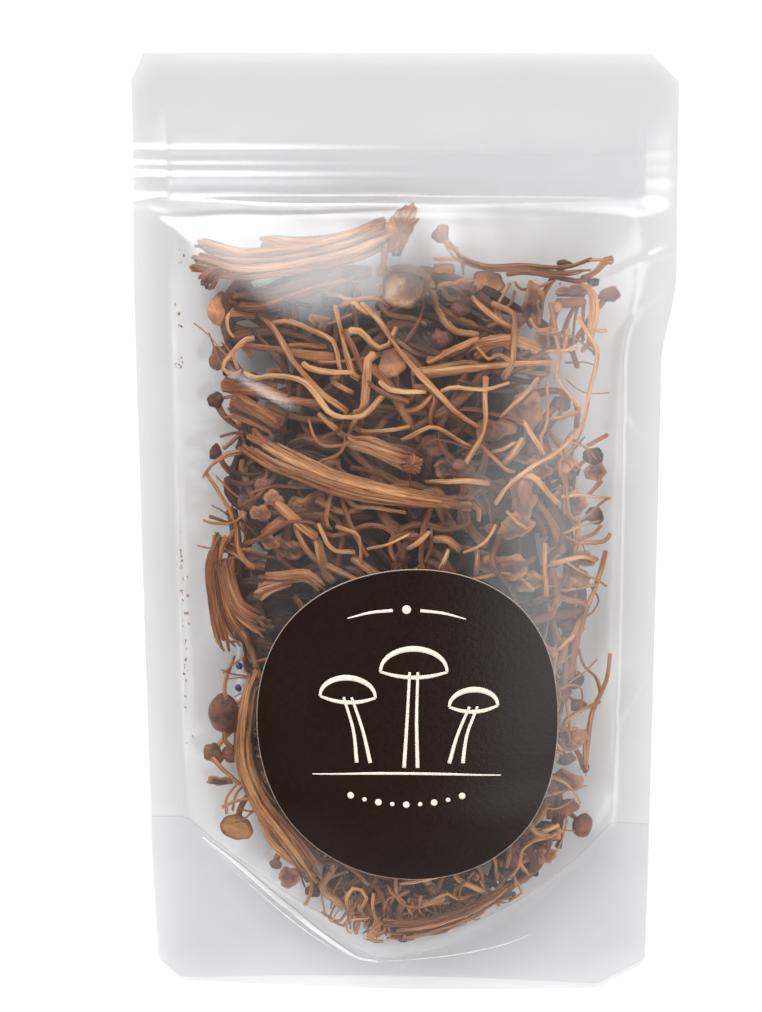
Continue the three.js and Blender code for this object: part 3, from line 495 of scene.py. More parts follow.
def capMaterial(name, colours):
    # dried cap: leathery skin with cell-like wrinkles, paler towards its rim, with painted shade from the
    # vertex light, darker for caps deep in the tangle
    n = Nodes(name)
    dark, mid, light = (fromSrgb(*colour) for colour in colours)
    tone, level, rim = n.tint()
    blotch = n.noise(260.0, 5.0, 0.6)
    cells = n.add("TexVoronoi", Vector=n.place(), Scale=900.0, feature="DISTANCE_TO_EDGE")
    value = n.maths("ADD", n.scaled(blotch, 0.75), n.scaled(n.maths("SUBTRACT", tone, 0.5), 0.4))
    colour = n.ramp(value, [(0.24, dark), (0.45, mid), (0.68, light)])
    # painted shade: the colour is multiplied by the vertex light, darker deep in the tangle
    shade = n.ramp(level, [(0.0, (0.35, 0.32, 0.32)), (1.0, (1.1, 1.1, 1.1))])
    colour = n.blend(1.0, colour, shade, "MULTIPLY")
    edge = n.ramp(rim, [(0.55, (0, 0, 0)), (0.95, (1, 1, 1))])
    colour = n.blend(n.scaled(edge, 0.5), colour, light)
    wrinkle = n.maths("MINIMUM", n.scaled(cells, 3.0), 0.5)
    height = n.maths("ADD", n.scaled(wrinkle, 0.5), blotch)
    return n.solid(colour, 0.5, 0.45, Normal=n.bumped(height, 0.45, 0.0007))


def gillMaterial():
    # underside of a cap: pale gills running in to the stump, a darker rolled rim
    n = Nodes("capGills")
    blotch = n.noise(300.0, 4.0, 0.6)
    skin = n.ramp(blotch, [(0.3, fromSrgb(92, 54, 32)), (0.65, fromSrgb(158, 100, 60))])
    flesh = n.ramp(blotch, [(0.32, fromSrgb(146, 90, 50)), (0.62, fromSrgb(210, 150, 92))])
    inside = n.ramp(n.tint()[2], [(0.6, (0, 0, 0)), (0.74, (1, 1, 1))])
    return n.solid(n.blend(inside, skin, flesh), 0.55, Normal=n.bumped(blotch, 0.5, 0.0006))


filmLook = {
    # what is let through, share of milky haze, least share mirrored
    "film": ((0.964, 0.964, 0.966), 0.018, 0.08), "gusset": ((0.995, 0.995, 0.997), 0.002, 0.012),
    "seal": ((0.998, 0.998, 0.999), 0.55, 0.08), "zip": ((0.998, 0.998, 0.999), 0.02, 0.01),
    "milk": (0.96, 0.96, 0.965, 1), "roughness": (0.12, 0.18), "cloudScale": 60.0,
}


def grazing(n, least):
    # share mirrored by a clear surface: little face on, all of it edge on, the same from either side
    facing = n.add("LayerWeight", outlet=1, Blend=0.5)
    return n.maths("ADD", n.maths("MULTIPLY", n.maths("POWER", facing, 5.0), 1 - least), least, clamp=True)


def filmMaterial(name, kind):
    # clear film: passes light almost straight through, mirrors the room, with a faint uneven haze
    tint, haze, mirrored = filmLook[kind]
    n = Nodes(name)
    cloud = n.noise(filmLook["cloudScale"], 1.0)
    clear = n.add("BsdfTransparent", Color=(*tint, 1))
    milky = n.add("BsdfDiffuse", Color=filmLook["milk"])
    body = n.add("MixShader", in0=n.scaled(cloud, 2 * haze), in1=clear, in2=milky)
    rough = n.shaded(cloud, 0.3, 0.7, *filmLook["roughness"])
    gloss = n.add("BsdfAnisotropic", Color=(1, 1, 1, 1), Roughness=rough)
    return n.finish(n.add("MixShader", in0=grazing(n, mirrored), in1=body, in2=gloss))


def innerFaceMaterial(name, kind):
    # the face of a film that looks into the pouch: its mirror is counted on the outer face
    tint = filmLook[kind][0]
    n = Nodes(name)
    colour = n.ramp(n.noise(filmLook["cloudScale"], 0.0), [(0.2, [0.995 * v for v in tint]), (0.8, tint)])
    return n.finish(n.add("BsdfTransparent", Color=colour))


print("materials")
materials = {
    "film": filmMaterial("clearFilm", "film"),
    "filmInside": innerFaceMaterial("clearFilmInside", "film"),
    "gusset": filmMaterial("clearGusset", "gusset"),
    "gussetInside": innerFaceMaterial("clearGussetInside", "gusset"),
    "seal": filmMaterial("sealedPlastic", "seal"),
    "zip": filmMaterial("zipPlastic", "zip"),
    "stem": stemMaterial("driedStem", [(93, 54, 34), (191, 118, 66), (238, 182, 122)], streakDepth=0.5),
    "bundle": stemMaterial("driedBundle", [(104, 58, 36), (200, 124, 72), (248, 186, 124)], streakDepth=0.9),
    "gills": gillMaterial(),
    "cap": capMaterial("driedCap", [(86, 54, 44), (160, 104, 78), (236, 164, 106)]),
}


# films
corners = {"topLeft": (3, 6), "topRight": (6, 6), "bottomLeft": (5, 4.5), "bottomRight": (11, 6.5)}
creases = [  # from and to in x, y; half width; height
    (60, 66, 44, 59, 1.1, 0.55), (58, 58, 46, 47, 1.0, 0.35), (-58, 74, -47, 67, 1.3, 0.4),
    (-57, 45, -48, 52, 1.2, 0.35), (55, 20, 47, 30, 1.2, 0.3), (-55, -20, -47, -8, 1.3, 0.35),
    (-41, 39.5, -22, 29, 2.3, 0.85), (-54, 94.6, -28, 93.6, 0.7, 0.26), (-54, 91.4, -40, 91.8, 0.6, 0.2),
    (-44, -78, -20, -95, 1.2, 0.35), (48, -60, 38, -82, 1.2, 0.4), (-20, -100, 20, -101, 1.1, 0.3),
    (55, -30, 48, -44, 1.0, 0.35), (-34, 74, 4, 76, 1.2, 0.35),
]
# y, height and half width of the ridges that the zip presses into the films
zipRidges = [(75.4, 0.42, 1.4), (80.5, 0.5, 1.5), (83.2, 0.2, 0.7), (86.4, 0.32, 0.9)]
wrinkles = {
    # wavelength and height of the soft folds over the filling, and of the slow warp of the whole film
    "folds": (26, 0.16), "smallFolds": (11, 0.035), "warp": (60, 0.07),
    # the folds fade out over this far from the side seals, the top of the filling and the bottom seal
    "fade": 6, "fadeTop": 10, "aboveBulge": 4, "mouthFade": 3,
    # lines pressed beside the side seals and below the bottom seal: offset, half width, height
    "sideLine": (0.5, 0.7, 0.16), "bottomLine": (0.6, 0.8, 0.22),
    # the zip's ridges are shallower to the right: where that starts, how far it runs, what is left
    "ridgeFade": (-45, 60, 0.25), "backShare": 0.6,
}
filmRows = {
    # rows up from the bottom edge, top of the even rows, the closer rows at the zip, those above it, and rows
    # down from the top edge; how much the columns crowd to the sides; rows and columns of each film
    "low": (4.5, 6.5, 8), "evenTop": 70, "zip": (70.5, 90, 40), "aboveZip": (92, 95, 98), "high": (6, 3),
    "crowding": 0.055, "front": (190, 110), "back": (130, 80),
}
gusset = {
    "left": -57.4, "right": 55.5, "columns": 80, "rows": 26, "foldRows": 6, "inset": 0.05,
    "fromFilm": 0.3, "thickness": 0.15,
}
gussetBead = {
    # routes over the front film and half widths; the section as shares of the half width, and heights
    "routes": [
        ([(-45.8, -70.3), (-37.8, -76.4), (-25, -88.7), (-18, -94.6), (-10.9, -99.5), (-5.5, -100.6)], 0.85),
        ([(-39, -78.6), (-31, -86), (-24, -92), (-17, -97.2)], 0.25),
        ([(-6, -100.6), (5.2, -99.7), (15, -98.3), (24.8, -95.8), (30, -93.6)], 0.16),
    ],
    "section": [(-1, 0), (-0.6, 0.16), (0, 0.24), (0.6, 0.16), (1, 0), (0, -0.02)],
    "seed": 4, "steps": 70, "lift": 0.06, "thinEnds": 0.35,
}


def cutIn(y, upperCorner, lowerCorner):
    # how far the cut corners take an edge in
    width, height = corners[upperCorner]
    lowWidth, lowHeight = corners[lowerCorner]
    top = width * np.clip((y - topEdge + height) / height, 0, 1)
    return top + lowWidth * np.clip((bottomEdge + lowHeight - y) / lowHeight, 0, 1)


def cutLeft(y):
    return leftEdge(y) + cutIn(y, "topLeft", "bottomLeft")


def cutRight(y):
    return rightEdge(y) - cutIn(y, "topRight", "bottomRight")


def gentleRelief(x, y, seed, wavelength, amplitude):
    rng = np.random.default_rng(seed)
    total = np.zeros_like(x)
    for k in range(9):
        angle = rng.uniform(0, np.pi)
        size = wavelength * rng.uniform(0.6, 1.6)
        total += np.sin(2 * np.pi * (x * np.cos(angle) + y * np.sin(angle)) / size + rng.uniform(0, 6.28))
    return amplitude * total / 3


def creaseRelief(x, y):
    total = np.zeros_like(x)
    for x0, y0, x1, y1, width, height in creases:
        dx, dy = x1 - x0, y1 - y0
        run = dx * dx + dy * dy
        t = np.clip(((x - x0) * dx + (y - y0) * dy) / run, 0, 1)
        away = np.hypot(x - x0 - dx * t, y - y0 - dy * t)
        total += height * np.exp(-(away / width) ** 2) * np.sin(np.pi * (0.1 + 0.8 * t))
    return total


def pressedLine(away, line):
    offset, halfWidth, height = line
    return height * np.exp(-((away + offset) / halfWidth) ** 2)


def filmRelief(x, y, seed):
    # wrinkles over the filling, a pressed line beside each seal, and the zip's ridges
    w = wrinkles
    inside = fromSides(x, y) - pouch["sideSeal"]
    aboveSeal = y - gussetSeal(x)
    loose = smooth(inside / w["fade"]) * smooth(aboveSeal / w["fade"])
    loose = loose * smooth((pouch["bulgeTop"] + w["aboveBulge"] - y) / w["fadeTop"])
    relief = loose * gentleRelief(x, y, seed, *w["folds"])
    relief = relief + loose * gentleRelief(x, y, seed + 5, *w["smallFolds"])
    relief = relief + gentleRelief(x, y, seed + 9, *w["warp"]) * smooth((topEdge - y) / w["mouthFade"] + 0.4)
    relief = relief + creaseRelief(x, y)
    relief = relief + pressedLine(inside, w["sideLine"]) + pressedLine(aboveSeal, w["bottomLine"])
    start, run, least = w["ridgeFade"]
    pressed = mix(1, least, smooth((x - start) / run))
    for line, height, width in zipRidges:
        relief = relief + height * pressed * np.exp(-((y - line) / width) ** 2)
    return relief


def filmGrid(rows, columns, height):
    # rows are closer at the zip and corners, columns at the side seals
    *low, start = (bottomEdge + up for up in filmRows["low"])
    body, zipRows = np.linspace(start, filmRows["evenTop"], rows), np.linspace(*filmRows["zip"])
    high = [topEdge - down for down in filmRows["high"]]
    y = np.array([bottomEdge, *low, *body, *zipRows, *filmRows["aboveZip"], *high, topEdge])[:, None]
    even = np.linspace(0, 1, columns)
    share = (even - filmRows["crowding"] * np.sin(2 * np.pi * even))[None, :]
    x = mix(cutLeft(y), cutRight(y), share)
    y = y + 0 * x
    return np.stack([x, y, height(x, y)], -1)


def closedSheet(parts, upper, lower, upperInside=False):
    # two faces and the four edges between them, as one closed body; the face that looks into the pouch
    # takes the piece's second material
    parts.addGrid(upper, plainTint, uv=(60, 100), slot=int(upperInside))
    parts.addGrid(lower, plainTint, uv=(60, 100), flip=True, slot=int(not upperInside))
    ends = ((lower[0], upper[0]), (upper[-1], lower[-1]))
    sides = ((upper[:, 0], lower[:, 0]), (lower[:, -1], upper[:, -1]))
    for a, b in ends + sides:
        parts.addGrid(np.stack([a, b]), plainTint)


def frontFilmHeight(x, y):
    # above the zip the mouth stands slightly open, so the film falls away slowly
    slow, fast = (smooth((pouch["zipTop"] + run - y) / run) for run in (pouch["mouthRun"], pouch["zipRun"]))
    across = smooth(fromSides(x, y) / pouch["sideSeal"])
    ajar = (slow - fast) * (pouch["zipHalfGap"] - pouch["seamGap"]) * across
    return frontInner(x, y) + pouch["filmSeat"] + filmRelief(x, y, 3) + ajar


def backFilmHeight(x, y):
    # the back film rests on the surface
    height = backInner(x, y) - pouch["filmSeat"] - filmRelief(x, y, 8) * wrinkles["backShare"]
    return np.maximum(height, pouch["backRests"])


def gussetFaces():
    # the gusset runs up the front film to its fold and down the back film
    g = gusset
    shares = np.linspace(0, 1, g["columns"])[None, :]
    roughX = mix(g["left"], g["right"], shares)
    steps, foldSteps = np.linspace(0, 1, g["rows"])[:, None], np.linspace(0.1, 1, g["foldRows"])[:, None]
    sealLine, foldLine = gussetSeal(roughX), gussetFold(roughX)
    y = np.concatenate([mix(bottomEdge, sealLine, steps), mix(sealLine, foldLine, foldSteps)])
    x = mix(cutLeft(y) + g["inset"], cutRight(y) - g["inset"], shares)
    middle = (frontInner(x, y) + backInner(x, y)) / 2
    atFold = smooth((y - sealLine) / (foldLine - sealLine))
    front = mix(frontInner(x, y) - g["fromFilm"], middle, atFold)
    back = mix(backInner(x, y) + g["fromFilm"], middle, atFold)
    outer = np.concatenate([np.stack([x, y, front], -1), np.stack([x, y, back], -1)[::-1][1:]])
    inward = np.zeros_like(outer)
    rows = len(y)
    inward[:rows, :, 2] = -g["thickness"] * (1 - atFold)
    inward[rows:, :, 2] = (g["thickness"] * (1 - atFold))[::-1][1:]
    inward[rows - 1, :, 1] = -g["thickness"]
    return outer, outer + inward


def makeFilms():
    thick = np.array([0, 0, pouch["filmThickness"]])
    front, back, fold = Parts(), Parts(), Parts()
    lower = filmGrid(*filmRows["front"], frontFilmHeight)
    closedSheet(front, lower + thick, lower)
    filmFront = front.make("filmFront", materials["film"], materials["filmInside"])
    upper = filmGrid(*filmRows["back"], backFilmHeight)
    closedSheet(back, upper, upper - thick, upperInside=True)
    filmBack = back.make("filmBack", materials["film"], materials["filmInside"])
    closedSheet(fold, *gussetFaces())
    filmGusset = fold.make("filmGusset", materials["gusset"], materials["gussetInside"])
    for piece, node in ((filmFront, "film_front"), (filmBack, "film_back"), (filmGusset, "film_gusset")):
        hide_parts(node)


def makeGussetSeal():
    # the milky pressed line where the gusset is sealed to the front film
    bead = gussetBead
    parts = Parts()
    rng = np.random.default_rng(bead["seed"])
    t = np.linspace(0, 1, bead["steps"])
    for route, width in bead["routes"]:
        at = curveThrough(route, bead["steps"])
        z = frontFilmHeight(at[:, 0], at[:, 1]) + pouch["filmThickness"] + bead["lift"]
        widths = width * mix(bead["thinEnds"], 1, np.sin(np.pi * np.clip(0.04 + 0.92 * t, 0, 1)))
        widths = (widths + waves(rng, t, 0.06, 9))[:, None]
        side = besidePath(at)
        rows = [np.column_stack([at + side * across * widths, z + rise]) for across, rise in bead["section"]]
        parts.addGrid(withEnds(np.stack(rows, 1)), plainTint, closedAround=True, flip=True)
    piece = parts.make("gussetSealLine", materials["seal"])
    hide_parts("film_front")


print("films")
makeFilms()
makeGussetSeal()


# bundles of fine strands still joined together, each made of one or more sprays
bundles = [
    {"name": "bundleTopLeft", "node": "bundle_top_left",
     "share": 0.5, "seed": 11, "radius": 1.1, "tone": (0.45, 0.9),
     "sprays": [
         {"path": [(-46.3, 64.2), (-37, 62), (-28, 62.5), (-18, 64), (-9, 66.5), (-2.5, 69.5)],
          "width": 5.8, "height": 2.4, "strands": 44, "splay": (0.1, 0.1)},
         {"path": [(-32, 66.8), (-24, 66), (-15, 66.8), (-8, 69), (-3, 71)], "width": 2.2, "height": 1.6,
          "strands": 10, "splay": (0.2, 0.2)},
         {"path": [(-38, 54), (-31, 53.5), (-24, 56), (-17, 58.5), (-9, 60.5)], "width": 3.4, "height": 1.6,
          "strands": 16, "splay": (0.3, 0.1), "tone": (0.05, 0.35)},
         {"path": [(-38, 62), (-41.5, 60), (-44, 57)], "width": 3, "height": 1.4, "strands": 9,
          "splay": (0, 0.6), "tone": (0.2, 0.6)},
         {"path": [(-3.6, 67), (-4.2, 63.5), (-4.6, 60.5)], "width": 0.8, "height": 0.6, "strands": 3,
          "splay": (0, 0)},
     ],
     "lump": {"x": -0.8, "y": 69.2, "long": 6.0, "wide": 3.1, "thick": 2.0, "turn": 63}},
    {"name": "bundleTopRight", "node": "bundle_top_right",
     "share": 0.6, "seed": 23, "radius": 0.7, "tone": (0.4, 0.8),
     "sprays": [
         {"path": [(10, 67), (13, 63.5), (19, 61.6), (27, 61.6), (35, 61), (42, 62.5)],
          "width": 1.6, "height": 1.0, "strands": 4, "splay": (0, 1.2)},
     ],
     "cap": {"name": "bundleTopRightCap", "x": 8.5, "y": 68.5, "radius": 2.1, "facing": (-0.6, 0.3, 1),
             "neck": [(10, 66.5), (12, 65)], "neckRadius": 0.7}},
    {"name": "bundleCentre", "node": "bundle_centre",
     "share": 1, "seed": 37, "radius": 1.1, "tone": (0.5, 1.0),
     "sprays": [
         {"path": [(-34, 24.5), (-28, 20.5), (-19, 17), (-9, 14), (3, 12), (16, 10.5)],
          "width": 4.0, "height": 2.8, "strands": 28, "splay": (0.35, -0.5)},
         {"path": [(-27, 26.5), (-31.5, 29), (-38, 31.5)], "width": 4.4, "height": 1.6, "strands": 15,
          "splay": (-0.3, 0.5), "tone": (0.3, 0.75)},
     ]},
    {"name": "bundleLeftFan", "node": "bundle_left_fan",
     "share": 1, "seed": 41, "radius": 0.95, "tone": (0.35, 0.85),
     "sprays": [
         {"path": [(-40.5, 2), (-42, -6), (-41.2, -13), (-40, -18), (-37.5, -24)], "width": 3.4, "height": 2,
          "strands": 18, "splay": (-0.4, 1.0)},
         {"path": [(-40, -4), (-37.5, -13), (-33.5, -16.5), (-29, -18)], "width": 3.2, "height": 1.8,
          "strands": 15, "splay": (-0.3, 0.9)},
     ]},
    {"name": "bundleFork", "node": "bundle_fork",
     "share": 1, "seed": 53, "radius": 0.9, "tone": (0.5, 0.95),
     "sprays": [
         {"path": [(-32, -7), (-27, -6.5), (-22, -5.5), (-19.5, -6), (-16.5, -8.5)],
          "width": 2.4, "height": 1.6, "strands": 10, "splay": (0.4, 0.1)},
         {"path": [(-32.5, -11.5), (-28.5, -9), (-23, -7)], "width": 1.8, "height": 1.2, "strands": 7,
          "splay": (0.6, 0)},
     ]},
    {"name": "bundleLowerLeft", "node": "bundle_lower_left",
     "share": 1, "seed": 67, "radius": 1.05, "tone": (0.4, 0.9),
     "sprays": [
         {"path": [(-32.5, -28), (-34, -35), (-35.4, -45), (-35, -52), (-32, -59), (-27, -66),
                   (-22, -73), (-18, -80)],
          "width": 4.4, "height": 2.4, "strands": 46, "splay": (-0.4, 0.5), "broken": 0.75},
     ]},
    {"name": "bundleBottom", "node": "bundle_bottom",
     "share": 1, "seed": 79, "radius": 0.8, "tone": (0.5, 1.0),
     "sprays": [
         {"path": [(-4, -91), (5, -90.6), (15, -87.2), (25, -81.5)],
          "width": 2.6, "height": 1.6, "strands": 14, "splay": (0.8, 0)},
     ]},
]
shortBundle = {
    "name": "shortBundle", "node": "tangle", "share": 1, "seed": 97, "radius": 1.0, "tone": (0.7, 1.0),
    "sprays": [
        {"path": [(-12, 24.5), (-7, 23.6), (-2, 21.6), (2, 20)], "width": 3.0, "height": 2.0, "strands": 16,
         "splay": (-0.4, 0.2)},
    ],
    "lump": {"x": 2.6, "y": 19.8, "long": 2.6, "wide": 2.3, "thick": 1.6, "turn": -25},
}
strandLook = {
    # share of the length by which strands stop short at the start and the end, and how rarely by much
    "startShort": (0.16, 1.6), "endShort": (0.18, 1.5), "brokenStart": (0, 0.72), "brokenRun": (0.14, 0.3),
    "step": 1.3, "wander": 0.3, "waver": 0.22, "frayEnd": 1.5, "frayStart": 1.2,
    "radius": (0.4, 0.8), "light": (0.55, 1.0), "lowerLight": 0.42, "flat": (0.6, 1), "twist": 2.5,
    "ridges": 0.16,
}


def bundleHeight(bundle, height, x, y):
    half = height / 2 + bundle["radius"]
    low = lowestCentre(x, y, half, bundle["radius"])
    high = highestCentre(x, y, half, bundle["radius"])
    return np.where(low < high, mix(low, high, bundle["share"]), (low + high) / 2)


def spreadAt(spray, t):
    return 1 + spray["splay"][0] * smooth((0.45 - t) / 0.45) + spray["splay"][1] * smooth((t - 0.5) / 0.5)


def addStrands(parts, bundle, spray, rng):
    # fine strands laid side by side in a flattened bundle, fraying at both ends
    look = strandLook
    low, high = spray.get("tone", bundle["tone"])
    whole = curveThrough(spray["path"], 90)
    length = pathLength(whole)
    shares = np.linspace(0, 1, len(whole))
    (startShort, startPower), (endShort, endPower) = look["startShort"], look["endShort"]
    for strand in range(spray["strands"]):
        seat = rng.uniform(-1, 1)
        level = rng.uniform(-1, 1) * math.sqrt(1 - seat * seat) * 0.95
        start, end = startShort * rng.random() ** startPower, 1 - endShort * rng.random() ** endPower
        if rng.random() < spray.get("broken", 0):
            start = rng.uniform(*look["brokenStart"])
            end = start + rng.uniform(*look["brokenRun"])
        t = np.linspace(start, end, max(9, int(length * (end - start) / look["step"])))
        at = np.stack([np.interp(t, shares, whole[:, k]) for k in (0, 1)], 1)
        wander = waves(rng, t, look["wander"], length / 30)
        fray = rng.uniform(-1, 1) * look["frayEnd"] * smooth((t - 0.86) / 0.14)
        fray = fray + rng.uniform(-1, 1) * look["frayStart"] * smooth((0.1 - t) / 0.1)
        aside = spray["width"] / 2 * spreadAt(spray, t) * seat + wander + fray
        radius = bundle["radius"] * rng.uniform(*look["radius"])
        x, y = drawInto(*(at + besidePath(at) * aside[:, None]).T, radius)
        z = bundleHeight(bundle, spray["height"], at[:, 0], at[:, 1]) + level * (spray["height"] / 2 + 0.4)
        z = z + waves(rng, t, look["waver"], length / 25)
        bottom = lowestCentre(x, y, radius)
        z = np.clip(z, bottom, np.maximum(highestCentre(x, y, radius), bottom))
        taper = 1 - 0.45 * smooth((t - end + 0.2) / 0.2) - 0.25 * smooth((start + 0.12 - t) / 0.12)
        # strands low in the bundle get painted shade
        shaded = look["lowerLight"] if level < -0.3 else 1
        tint = (rng.uniform(low, high), rng.uniform(*look["light"]) * shaded)
        addTube(parts, np.stack([x, y, z], 1), radius * taper, tint, rng, flat=rng.uniform(*look["flat"]),
                twist=rng.uniform(-1, 1) * look["twist"], ridges=look["ridges"])


def addUndersides(bundle, spray):
    whole = curveThrough(spray["path"], 60)
    for (x, y), t in zip(whole, np.linspace(0, 1, len(whole))):
        reach = spray["width"] / 2 * spreadAt(spray, t) + bundle["radius"] * 0.6
        z = bundleHeight(bundle, spray["height"], x, y) - spray["height"] / 2 - bundle["radius"] * 0.7
        undersides.append((x, y, float(reach), float(z)))


def addLump(parts, bundle, lump, rng):
    # the cut base of a cluster: a grainy block of stub ends
    up = np.linspace(-np.pi / 2, np.pi / 2, 22)[:, None]
    ring = ringAngles(36)
    x, y = (np.sign(way) * np.abs(way) ** 0.8 * np.cos(up) for way in (np.cos(ring), np.sin(ring)))
    z = np.sin(up) + 0 * ring
    grain = np.zeros_like(x)
    for k in range(16):
        way = rng.normal(0, 1, 3)
        grain += np.abs(np.sin(5.6 * (x * way[0] + y * way[1] + z * way[2]) + rng.uniform(0, 6.28)))
    swell = 0.8 + 1.5 * (grain / 16 - 0.6) + rng.normal(0, 0.06, x.shape) * np.cos(up)
    x, y = turned(x * swell * lump["long"], y * swell * lump["wide"], math.radians(lump["turn"]))
    height = float(bundleHeight(bundle, 2, lump["x"], lump["y"]))
    points = np.stack([lump["x"] + x, lump["y"] + y, height + z * swell * lump["thick"]], -1)
    parts.addGrid(points, (0.62, 0.72, 0.5, 1), closedAround=True, uv=(12, 9))


def makeBundle(bundle):
    rng = np.random.default_rng(bundle["seed"])
    parts = Parts()
    for spray in bundle["sprays"]:
        addStrands(parts, bundle, spray, rng)
        addUndersides(bundle, spray)
    if "lump" in bundle:
        addLump(parts, bundle, bundle["lump"], rng)
    piece = parts.make(bundle["name"], materials["bundle"])
    if "cap" in bundle:
        makeBundleCap(bundle, rng)
    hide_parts(bundle["node"])


def makeBundleCap(bundle, rng):
    # a cap on a short neck at the end of a bundle
    cap = bundle["cap"]
    z = float(bundleHeight(bundle, 0, cap["x"], cap["y"]))
    parts = Parts()
    centre = (cap["x"], cap["y"], z - 0.3 * cap["radius"])
    addCap(parts, centre, cap["facing"], cap["radius"], cap["radius"], rng)
    neck = curveThrough([(x, y, z) for x, y in [(cap["x"], cap["y"]), *cap["neck"]]], 10)
    addTube(parts, neck, cap["neckRadius"], (0.5, 0.9), rng)
    piece = parts.make(cap["name"], materials["cap"])
    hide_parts(bundle["node"])


# share of the radius and of the height, from the top round the rim to the middle of the underside
capProfile = np.array([(0, 0.98), (0.2, 0.96), (0.42, 0.88), (0.63, 0.74), (0.81, 0.54), (0.93, 0.32),
                       (1.0, 0.12), (0.99, -0.02), (0.9, -0.07), (0.72, 0.04), (0.5, 0.16), (0.26, 0.22),
                       (0, 0.24)])
capUnderside = 8  # first row with gills


def addCap(parts, centre, facing, halfWide, halfHigh, rng, pucker=1.0, tint=None):
    # a small dried cap: a puckered dome whose rim curls under to a gilled underside
    facing = np.asarray(facing, float) / np.linalg.norm(facing)
    sideways = np.array([1.0, 0, 0]) - facing * facing[0]
    sideways /= np.linalg.norm(sideways)
    third = np.cross(facing, sideways)
    sides, radius = 30, (halfWide + halfHigh) / 2
    angle = ringAngles(sides)
    outward, rise = capProfile[:, :1], capProfile[:, 1:]
    phase = rng.uniform(0, 6.28, 6)
    waver = 0.07 * np.sin(3 * angle + phase[0]) + 0.05 * np.sin(5 * angle + phase[1])
    waver = waver + 0.035 * np.sin(8 * angle + phase[2])
    out = outward * (1 + pucker * waver * outward ** 1.5) * (1 + 0.06 * np.sin(2 * angle + phase[3]))
    lift = rise * rng.uniform(0.62, 0.85)
    lift = lift + pucker * 0.09 * np.sin(4 * angle + phase[4]) * outward ** 2
    lift = lift + pucker * 0.06 * np.sin(7 * angle + 5 * outward + phase[5]) * outward
    lift = lift - pucker * 0.1 * np.exp(-((outward - 0.1) / 0.18) ** 2)
    under = (np.arange(len(capProfile)) >= capUnderside)[:, None]
    lift = radius * (lift + under * 0.05 * np.cos(15 * angle) * outward)
    points = np.asarray(centre) + (out * halfWide * np.cos(angle))[..., None] * sideways
    points = points + (out * halfHigh * np.sin(angle))[..., None] * third + lift[..., None] * facing
    tone, light = tint or (rng.uniform(0.25, 0.9), rng.uniform(0.6, 1.0))
    tints = tinted(len(capProfile), sides, tone, light, np.linspace(0, 1, len(capProfile))[:, None])
    parts.addGrid(points, tints, closedAround=True, flip=True)


print("bundles")
for bundle in bundles + [shortBundle]:
    makeBundle(bundle)


# large curled cap
curledCap = {
    "x": 0.8, "y": 58.3, "radius": 4.9, "depth": 4.6, "lean": (0.24, 0.5), "belowFilm": 6, "leastGap": 0.35,
    # way to the drawn-out lip and to the side that rolls inwards, and how wide each is
    "lip": (0.5, 0.24), "roll": (1.9, 0.85),
}


def curledCapMaterial():
    n = Nodes("curledCapSkin")
    _, light, inside = n.tint()
    blotch = n.noise(300.0, 4.0, 0.6)
    gill = n.streaks(26.0, 1.2, 2.0)
    skin = n.ramp(blotch, [(0.3, fromSrgb(62, 35, 25)), (0.65, fromSrgb(142, 82, 46))])
    flesh = n.ramp(n.maths("ADD", n.scaled(blotch, 0.5), n.scaled(gill, 0.5)),
                   [(0.34, fromSrgb(196, 136, 88)), (0.52, fromSrgb(250, 216, 172))])
    # painted light and shade: the colour is darkened where the vertex light is low
    depth = n.ramp(light, [(0.0, (0.3, 0.2, 0.16)), (0.5, (0.66, 0.5, 0.4)), (1.0, (1, 1, 1))])
    colour = n.blend(1.0, n.blend(inside, skin, flesh), depth, "MULTIPLY")
    return n.solid(colour, 0.5, Normal=n.bumped(n.maths("ADD", blotch, gill), 0.5, 0.0006))


